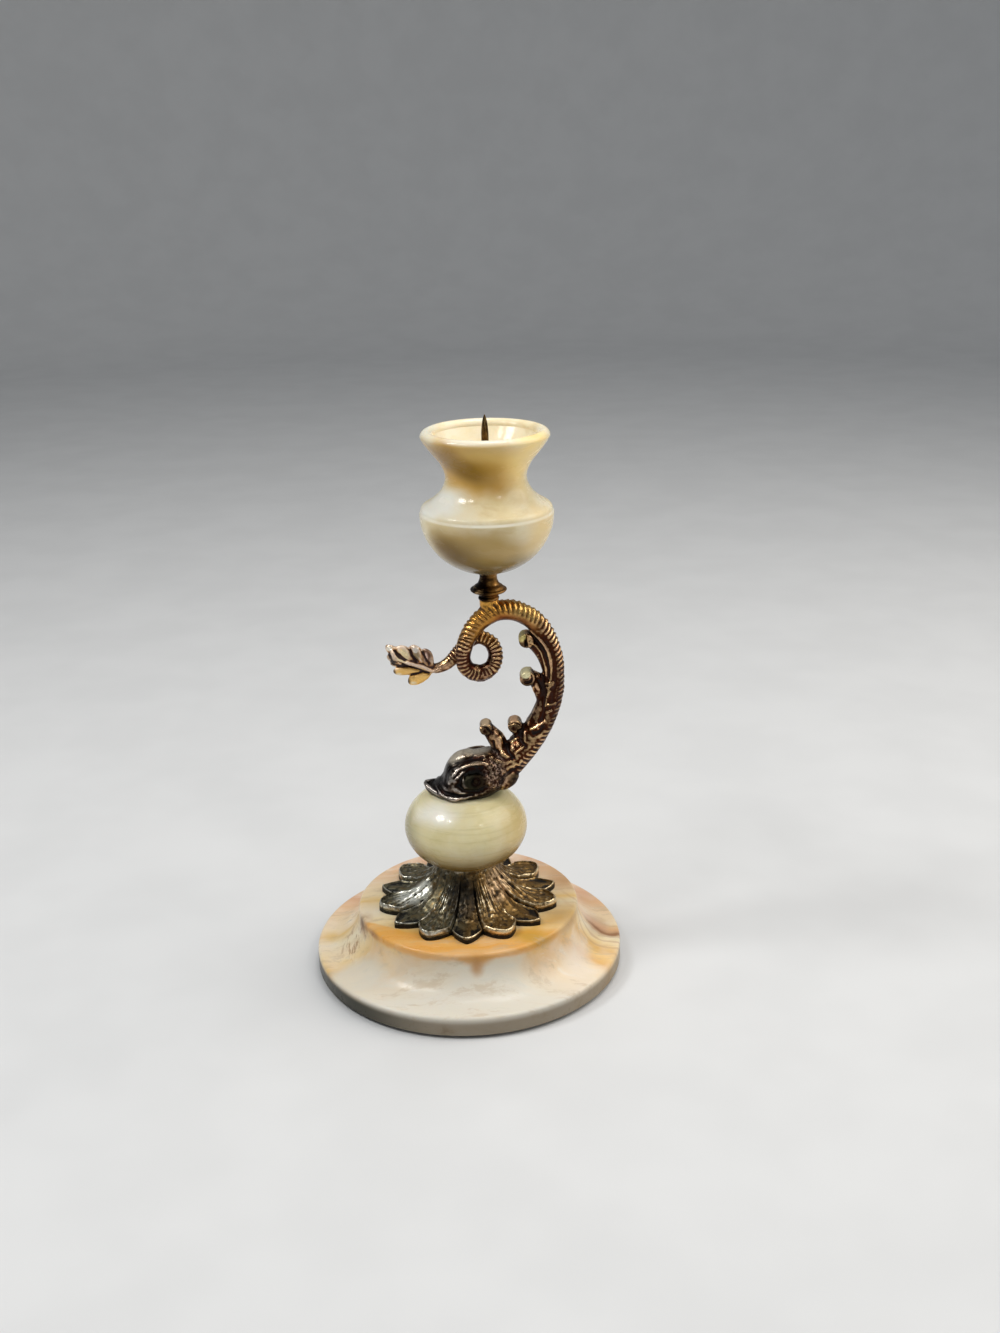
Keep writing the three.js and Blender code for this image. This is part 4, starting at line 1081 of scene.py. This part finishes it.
class CANDLESTICK_OT_skirt(bpy.types.Operator):
    """Cast skirt of seven pairs of petals, rising to a fluted neck under the ball"""
    bl_idname = "candlestick.skirt"
    bl_label = "Petal skirt"
    bl_options = {"REGISTER", "UNDO"}

    def execute(self, context):
        foot, top = heights("leaf_skirt")
        tip = -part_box("leaf_skirt")[0].y / MM
        bm = bmesh.new()
        grid_form(bm, 84, PETAL_ROWS, lambda u, v: petal_points(u, v, foot, top, tip))
        bmesh.ops.spin(bm, geom=bm.verts[:] + bm.edges[:] + bm.faces[:], cent=(0, 0, 0), axis=(0, 0, 1),
                       angle=2 * math.pi * (PAIRS - 1) / PAIRS, steps=PAIRS - 1, use_duplicate=True)
        bmesh.ops.remove_doubles(bm, verts=bm.verts, dist=2e-6)
        # The bore, from the neck's rim straight down to the inner edge of the underside
        open_rims = [edge for edge in bm.edges if edge.is_boundary]
        upper = [edge for edge in open_rims if edge.verts[0].co.z > (foot + 4) * MM]
        made = bmesh.ops.extrude_edge_only(bm, edges=upper)["geom"]
        for vert in made:
            if isinstance(vert, bmesh.types.BMVert):
                flat = Vector((vert.co.x, vert.co.y, 0)).normalized() * SKIRT_BORE * MM
                vert.co = (flat.x, flat.y, top * MM)
        bmesh.ops.bridge_loops(bm, edges=[edge for edge in bm.edges if edge.is_boundary])
        # Unevenness of sand casting
        bmesh.ops.recalc_face_normals(bm, faces=bm.faces)
        bm.normal_update()
        for vert in bm.verts:
            if (foot + 2.5) * MM < vert.co.z < (top - 1) * MM:
                grit = 0.28 * noise.noise(vert.co * 640) + 0.2 * noise.noise(vert.co * 260)
                vert.co += vert.normal * grit * MM
        mesh = finish_piece("petal_skirt", bm, skirt_brass(), "darkened_brass", "leaf_skirt", crease=60)
        mark_relief(mesh, 0.22, 0.05, 0.2, foot + 1.7)
        return {"FINISHED"}


class CANDLESTICK_OT_ball(bpy.types.Operator):
    """Oblate onyx ball between skirt and head"""
    bl_idname = "candlestick.ball"
    bl_label = "Ball"
    bl_options = {"REGISTER", "UNDO"}

    def execute(self, context):
        foot, top = heights("onyx_ball")
        radius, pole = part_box("onyx_ball")[1].x / MM, 15.7
        cut = math.degrees(math.asin((top - foot) / 2 / pole))
        profile = [(ROD_BORE, foot), *arc(0, (foot + top) / 2, radius, pole, -cut, cut, 64), (ROD_BORE, top)]
        turned_piece("onyx_ball_turned", profile, 160, 0, pale_onyx(), "pale_onyx", "onyx_ball")
        return {"FINISHED"}


class CANDLESTICK_OT_dolphin(bpy.types.Operator):
    """Cast dolphin: head, ribbed body, fin with rolled curls, looped tail and leaf, in one skin"""
    bl_idname = "candlestick.dolphin"
    bl_label = "Dolphin stem"
    bl_options = {"REGISTER", "UNDO"}

    def execute(self, context):
        mesh = one_skin(casting_forms(), settings().sizes.skin / MM)
        points, _, edges = read_mesh(mesh)
        write_points(mesh, relaxed(points, edges, 3))
        points, normals, _ = read_mesh(mesh)
        height = sculpt(points, normals) + ribs(points) + scales(points)
        height *= ease(points[:, 2], SEAT + 0.2, SEAT + 1.2)
        height *= 1 - ease(points[:, 2], STEM_TOP - 1.2, STEM_TOP - 0.4)
        write_points(mesh, points + normals * height[:, None])
        mark_relief(mesh, 0.17, 0.16, 0.6)
        # One skin, cut flat where it sits on the ball and under the collar
        bm = bmesh.new()
        bm.from_mesh(mesh)
        bpy.data.meshes.remove(mesh)
        drop_specks(bm)
        for level, way in ((SEAT, -1), (STEM_TOP, 1)):
            sliced(bm, (0, 0, level * MM), (0, 0, way))
        bmesh.ops.triangulate(bm, faces=[face for face in bm.faces if len(face.verts) > 4])
        finish_piece("dolphin", bm, dolphin_brass(), "patinated_brass", "dolphin_casting", crease=65)
        return {"FINISHED"}


class CANDLESTICK_OT_collar(bpy.types.Operator):
    """Turned spool between the loop and the cup"""
    bl_idname = "candlestick.collar"
    bl_label = "Collar"
    bl_options = {"REGISTER", "UNDO"}

    def execute(self, context):
        foot, top = heights("turned_collar")
        flange = foot + 3.4
        below = [(3.15, foot + 1.2), (3.6, flange - 1.6), (4.7, flange - 0.9), (5.7, flange - 0.55)]
        above = [(5.5, flange + 0.55), (4.7, flange + 1.4), (3.8, flange + 2.0), (3.35, flange + 2.8),
                 (2.95, top - 2.4), (2.9, top - 1.3)]
        profile = [
            (CUP_BORE, foot), (3.2, foot), *arc(3.2, foot + 0.5, 0.35, 0.5, -90, 90, 6), (3.1, foot + 1.1),
            *curve_through(below), *arc(5.75, flange + 0.05, 0.42, 0.42, -70, 70, 8), *curve_through(above),
            *arc(3.1, top - 0.7, 0.35, 0.55, -90, 60, 6), (3.2, top), (CUP_BORE, top)]
        brass = collar_brass()
        turned_piece("collar", profile, 96, CUP_X, brass, "patinated_brass", "turned_collar", crease=50)
        return {"FINISHED"}


class CANDLESTICK_OT_cup(bpy.types.Operator):
    """Onyx cup: bowl, crisp ridge, shoulder, neck, flare, rounded rim and open dish"""
    bl_idname = "candlestick.cup"
    bl_label = "Cup"
    bl_options = {"REGISTER", "UNDO"}

    def execute(self, context):
        foot, top = heights("onyx_cup")
        dish = heights("cup_washer")[0]
        ridge, neck = foot + 20.4, foot + 32.7
        rim_middle, rim = 19.05, 2.2
        bowl = [(6.2, foot + 0.25), (10.2, foot + 1.75), (15.9, foot + 5.6), (19.7, foot + 10.6),
                (21.75, foot + 15.6), (22.3, ridge - 0.3)]
        shoulder = [(22.05, ridge + 0.35), (21.45, ridge + 1.9), (18.4, ridge + 3.9), (15.6, ridge + 6.4),
                    (13.85, ridge + 9.4), (13.45, neck), (14.95, neck + 4.1), (18.0, neck + 8.1),
                    (20.2, neck + 11.0), (21.15, top - rim)]
        inside = [(16.85, top - rim), (16.0, top - 3.4), (13.4, dish + 5.0), (10.2, dish + 2.0),
                  (7.9, dish + 0.5), (7.0, dish)]
        profile = [
            (CUP_BORE, foot), (5.7, foot), *curve_through(bowl, 10), *curve_through(shoulder, 8),
            *arc(rim_middle, top - rim, rim, rim, 8, 172, 18), *curve_through(inside, 8), (CUP_BORE, dish)]
        turned_piece("cup", profile, 192, CUP_X, honey_onyx(), "honey_onyx", "onyx_cup", crease=28)
        return {"FINISHED"}


class CANDLESTICK_OT_pricket(bpy.types.Operator):
    """Pricket with its long point, and the nut and washer that hold it down in the dish"""
    bl_idname = "candlestick.pricket"
    bl_label = "Pricket, nut and washer"
    bl_options = {"REGISTER", "UNDO"}

    def execute(self, context):
        foot, tip = heights("pricket_spike")
        nut_foot, nut_top = heights("cup_nut")
        washer_foot, washer_top = heights("cup_washer")
        # The pricket: a rod with a short thread above its nut, and a ground point
        pitch, groove, shoulder = 0.35, 0.17, nut_top + 1.2
        thread, z = [], nut_top + 0.15
        while z < shoulder - pitch:
            thread += [(2.0, z), (1.72, z + groove)]
            z += pitch
        point = [(1.19, tip - 6.0), (1.02, tip - 3.8), (0.72, tip - 2.0), (0.4, tip - 0.8), (0.12, tip - 0.1)]
        profile = [
            (0, foot), (1.4, foot), (2.0, foot + 0.6), *thread, (1.55, shoulder - 0.2), (1.25, shoulder),
            (1.2, shoulder + 0.4), (1.2, tip - 6.2), *curve_through(point), (0, tip)]
        bronze = dull_metal("spike_bronze", settings().metal.spike, (52, 40, 24), 0.38, 0.9, (2, 2, 0.5))
        turned_piece("pricket", profile, 48, CUP_X, bronze, "spike_bronze", "pricket_spike", crease=40)
        # The washer
        brass = dull_metal("plain_brass", (186, 152, 92), (112, 86, 48), 0.36)
        bore, outer = 2.15, 6.0
        profile = [
            (bore, washer_foot), (outer - 0.2, washer_foot), (outer, washer_foot + 0.2),
            (outer, washer_top - 0.25), (outer - 0.25, washer_top), (bore + 0.15, washer_top),
            (bore, washer_top - 0.15)]
        turned_piece("dish_washer", profile, 64, CUP_X, brass, "plain_brass", "cup_washer")
        # The nut: a hexagon cut from a chamfered turning
        across_flats = 7.0
        corner = across_flats / math.sqrt(3)
        bm = bmesh.new()
        turned(bm, [
            (bore, nut_foot), (corner - 0.5, nut_foot), (corner, nut_foot + 0.35), (corner, nut_top - 0.35),
            (corner - 0.5, nut_top), (bore + 0.4, nut_top), (bore, nut_top - 0.4)], 72, CUP_X)
        for degrees in range(30, 390, 60):
            turn = math.radians(degrees)
            facing = Vector((math.cos(turn), math.sin(turn), 0))
            sliced(bm, Vector((CUP_X * MM, 0, 0)) + facing * (across_flats / 2) * MM, facing)
        finish_piece("dish_nut", bm, brass, "plain_brass", "cup_nut", crease=25)
        return {"FINISHED"}


class CANDLESTICK_OT_hidden(bpy.types.Operator):
    """Finishes for the felt and for the rod, nut and washer inside the base"""
    bl_idname = "candlestick.hidden"
    bl_label = "Felt and hidden fixings"
    bl_options = {"REGISTER", "UNDO"}

    def execute(self, context):
        steel = dull_metal("plated_steel", (206, 206, 200), (150, 150, 146), 0.36)
        finishes = {"felt_pad": wool_felt(), "base_washer": steel, "base_nut": steel, "lower_rod": steel}
        for node, material in finishes.items():
            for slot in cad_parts[node].material_slots:
                slot.material = material
        return {"FINISHED"}


class CANDLESTICK_OT_stage(bpy.types.Operator):
    """Pale round floor that sweeps up to a wall, soft lamps and the camera"""
    bl_idname = "candlestick.stage"
    bl_label = "Stage, lamps and camera"
    bl_options = {"REGISTER", "UNDO"}

    def execute(self, context):
        scene, chosen = context.scene, settings().stage
        self.lay_floor(scene)
        world = bpy.data.worlds.new("studio")
        scene.world = world
        world.use_nodes = True
        sky = world.node_tree.nodes["Background"]
        sky.inputs["Color"].default_value = (0.92, 0.96, 1.0, 1.0)
        sky.inputs["Strength"].default_value = chosen.sky
        self.hang_lamps(scene, chosen)
        self.place_camera(scene, chosen.lens)
        scene.view_settings.view_transform = "Standard"
        return {"FINISHED"}

    def lay_floor(self, scene):
        radius, bend, wall = 1500.0, 500.0, 1600.0
        sweep = arc(radius, bend, bend, bend, 270, 360, 12)
        bm = bmesh.new()
        turned(bm, [(0, 0), (radius, 0), *sweep, (radius + bend, wall)], 64, closed=False)
        mesh = smooth_mesh("floor", bm, 180)
        floor = bpy.data.objects.new("floor", mesh)
        scene.collection.objects.link(floor)
        mesh.materials.append(floor_paint())

    def hang_lamps(self, scene, chosen):
        """Round lamps, given as name, place in metres, width, power and colour, turned to the candlestick."""
        aim = Vector((0.005, 0, 0.09))
        for name, place, size, power, colour in (
                ("lamp_left", (-0.58, -0.12, 0.82), 0.24, chosen.left, (1.0, 0.99, 0.97)),
                ("lamp_front", (-0.40, -0.34, 0.86), 0.14, 0.35 * chosen.left, (1.0, 0.99, 0.97)),
                ("lamp_right", (0.62, 0.02, 0.62), 0.80, chosen.right, (1.0, 0.95, 0.88)),
                ("lamp_near_right", (0.42, -0.52, 0.80), 0.12, 0.12 * chosen.right, (1.0, 0.97, 0.92)),
                ("ceiling", (0.12, 0.12, 1.0), 0.40, chosen.top, (1.0, 0.99, 0.97)),
                ("front_fill", (0.15, -1.2, 0.5), 0.7, chosen.front, (0.95, 0.98, 1.0))):
            lamp = bpy.data.lights.new(name, "AREA")
            lamp.shape = "DISK"
            lamp.size = size
            lamp.energy = power
            lamp.color = colour
            holder = bpy.data.objects.new(name, lamp)
            scene.collection.objects.link(holder)
            holder.location = place
            holder.rotation_euler = (aim - Vector(place)).to_track_quat("-Z", "Y").to_euler()

    def place_camera(self, scene, focal_length):
        """The camera as fitted to the photograph: place in metres, angle downwards and roll."""
        place, down, roll = (0.0133, -0.4823, 0.2883), math.radians(20.08), math.radians(1.22)
        lens = bpy.data.cameras.new("camera")
        lens.lens = focal_length
        lens.sensor_width = 36.0
        lens.clip_start = 0.01
        camera = bpy.data.objects.new("camera", lens)
        scene.collection.objects.link(camera)
        ahead = Vector((0, math.cos(down), -math.sin(down)))
        right, up = Vector((1, 0, 0)), Vector((0, math.sin(down), math.cos(down)))
        right, up = right * math.cos(roll) - up * math.sin(roll), up * math.cos(roll) + right * math.sin(roll)
        camera.matrix_world = Matrix.Translation(place) @ Matrix((right, up, -ahead)).transposed().to_4x4()
        scene.camera = camera


# Settings and panel

def colour_choice(name, description, *tone):
    return bpy.props.FloatVectorProperty(name=name, description=description, default=tone_of(tone),
                                         subtype="COLOR", size=4, min=0, max=1)


def size_choice(name, description, default):
    return bpy.props.FloatProperty(name=name, description=description, default=default, min=0,
                                   subtype="DISTANCE", unit="LENGTH", precision=5)


def power_choice(name, default):
    return bpy.props.FloatProperty(name=name, description="Power of the " + name.lower(), default=default,
                                   min=0, unit="POWER")


class CandlestickSizes(bpy.types.PropertyGroup):
    """Sizes of detail that the CAD frame leaves open"""
    rib_pitch: size_choice("Rib pitch", "From crest to crest of the ribs on the body", 0.0016)
    edge: size_choice("Stone edge", "Radius of the eased edges of the base", 0.0011)
    skin: size_choice("Casting grain", "Size of the steps in which the casting's forms are joined", 0.00029)


class CandlestickStone(bpy.types.PropertyGroup):
    """Colours of the onyx"""
    cove_white: colour_choice("Cove", "Pale stone of the front of the base", 216, 211, 197)
    orange: colour_choice("Orange band", "Crescent between petals and edge", 224, 158, 62)
    vein: colour_choice("Brown stain", "Stain at the left edge of the base", 150, 104, 62)
    ball: colour_choice("Ball", "Main colour of the ball", 226, 214, 168)
    cup: colour_choice("Cup", "Main colour of the cup", 236, 222, 184)
    honey: colour_choice("Honey", "Translucent zone at the cup's neck", 210, 164, 76)


class CandlestickMetal(bpy.types.PropertyGroup):
    """Colours of the cast and drawn metal"""
    gold: colour_choice("Rubbed gold", "Ridges of the dolphin", 240, 200, 146)
    brown: colour_choice("Brown patina", "Broad surfaces of the dolphin", 70, 34, 18)
    hollow: colour_choice("Hollows", "Hollows of the dolphin", 26, 12, 8)
    silver: colour_choice("Skirt rims", "Worn rims of the skirt", 214, 212, 198)
    skirt: colour_choice("Skirt", "Broad surfaces of the skirt", 104, 98, 76)
    spike: colour_choice("Spike", "Drawn rod of the pricket", 122, 100, 66)


class CandlestickStage(bpy.types.PropertyGroup):
    """Lamps and lens"""
    sky: bpy.props.FloatProperty(name="Sky", description="Strength of the plain sky", default=0.24, min=0)
    left: power_choice("Left lamp", 3.1)
    right: power_choice("Right lamp", 3.6)
    top: power_choice("Ceiling lamp", 3.3)
    front: power_choice("Front fill", 0.8)
    lens: bpy.props.FloatProperty(name="Lens", description="Focal length of the camera", default=40.51,
                                  min=10, unit="CAMERA")


class CandlestickSettings(bpy.types.PropertyGroup):
    """All settings of the candlestick"""
    sizes: bpy.props.PointerProperty(type=CandlestickSizes)
    stone: bpy.props.PointerProperty(type=CandlestickStone)
    metal: bpy.props.PointerProperty(type=CandlestickMetal)
    stage: bpy.props.PointerProperty(type=CandlestickStage)


OPERATORS = (CANDLESTICK_OT_stage, CANDLESTICK_OT_base, CANDLESTICK_OT_skirt, CANDLESTICK_OT_ball,
             CANDLESTICK_OT_dolphin, CANDLESTICK_OT_collar, CANDLESTICK_OT_cup, CANDLESTICK_OT_pricket,
             CANDLESTICK_OT_hidden)


class CANDLESTICK_PT_panel(bpy.types.Panel):
    """Buttons and settings of the candlestick"""
    bl_label = "Candlestick"
    bl_idname = "CANDLESTICK_PT_panel"
    bl_space_type = "VIEW_3D"
    bl_region_type = "UI"
    bl_category = "Candlestick"

    def draw(self, context):
        layout = self.layout
        for operator in OPERATORS:
            layout.operator(operator.bl_idname)
        for group in (settings().sizes, settings().stone, settings().metal, settings().stage):
            box = layout.box()
            for name in group.__annotations__:
                box.prop(group, name)


CLASSES = (CandlestickSizes, CandlestickStone, CandlestickMetal, CandlestickStage, CandlestickSettings,
           *OPERATORS, CANDLESTICK_PT_panel)


def register():
    for cls in CLASSES:
        bpy.utils.register_class(cls)
    bpy.types.Scene.candlestick = bpy.props.PointerProperty(type=CandlestickSettings)


def unregister():
    del bpy.types.Scene.candlestick
    for cls in reversed(CLASSES):
        bpy.utils.unregister_class(cls)


def main():
    register()
    for operator in OPERATORS:
        getattr(bpy.ops.candlestick, operator.bl_idname.split(".")[1])()


if __name__ == "__main__":
    main()
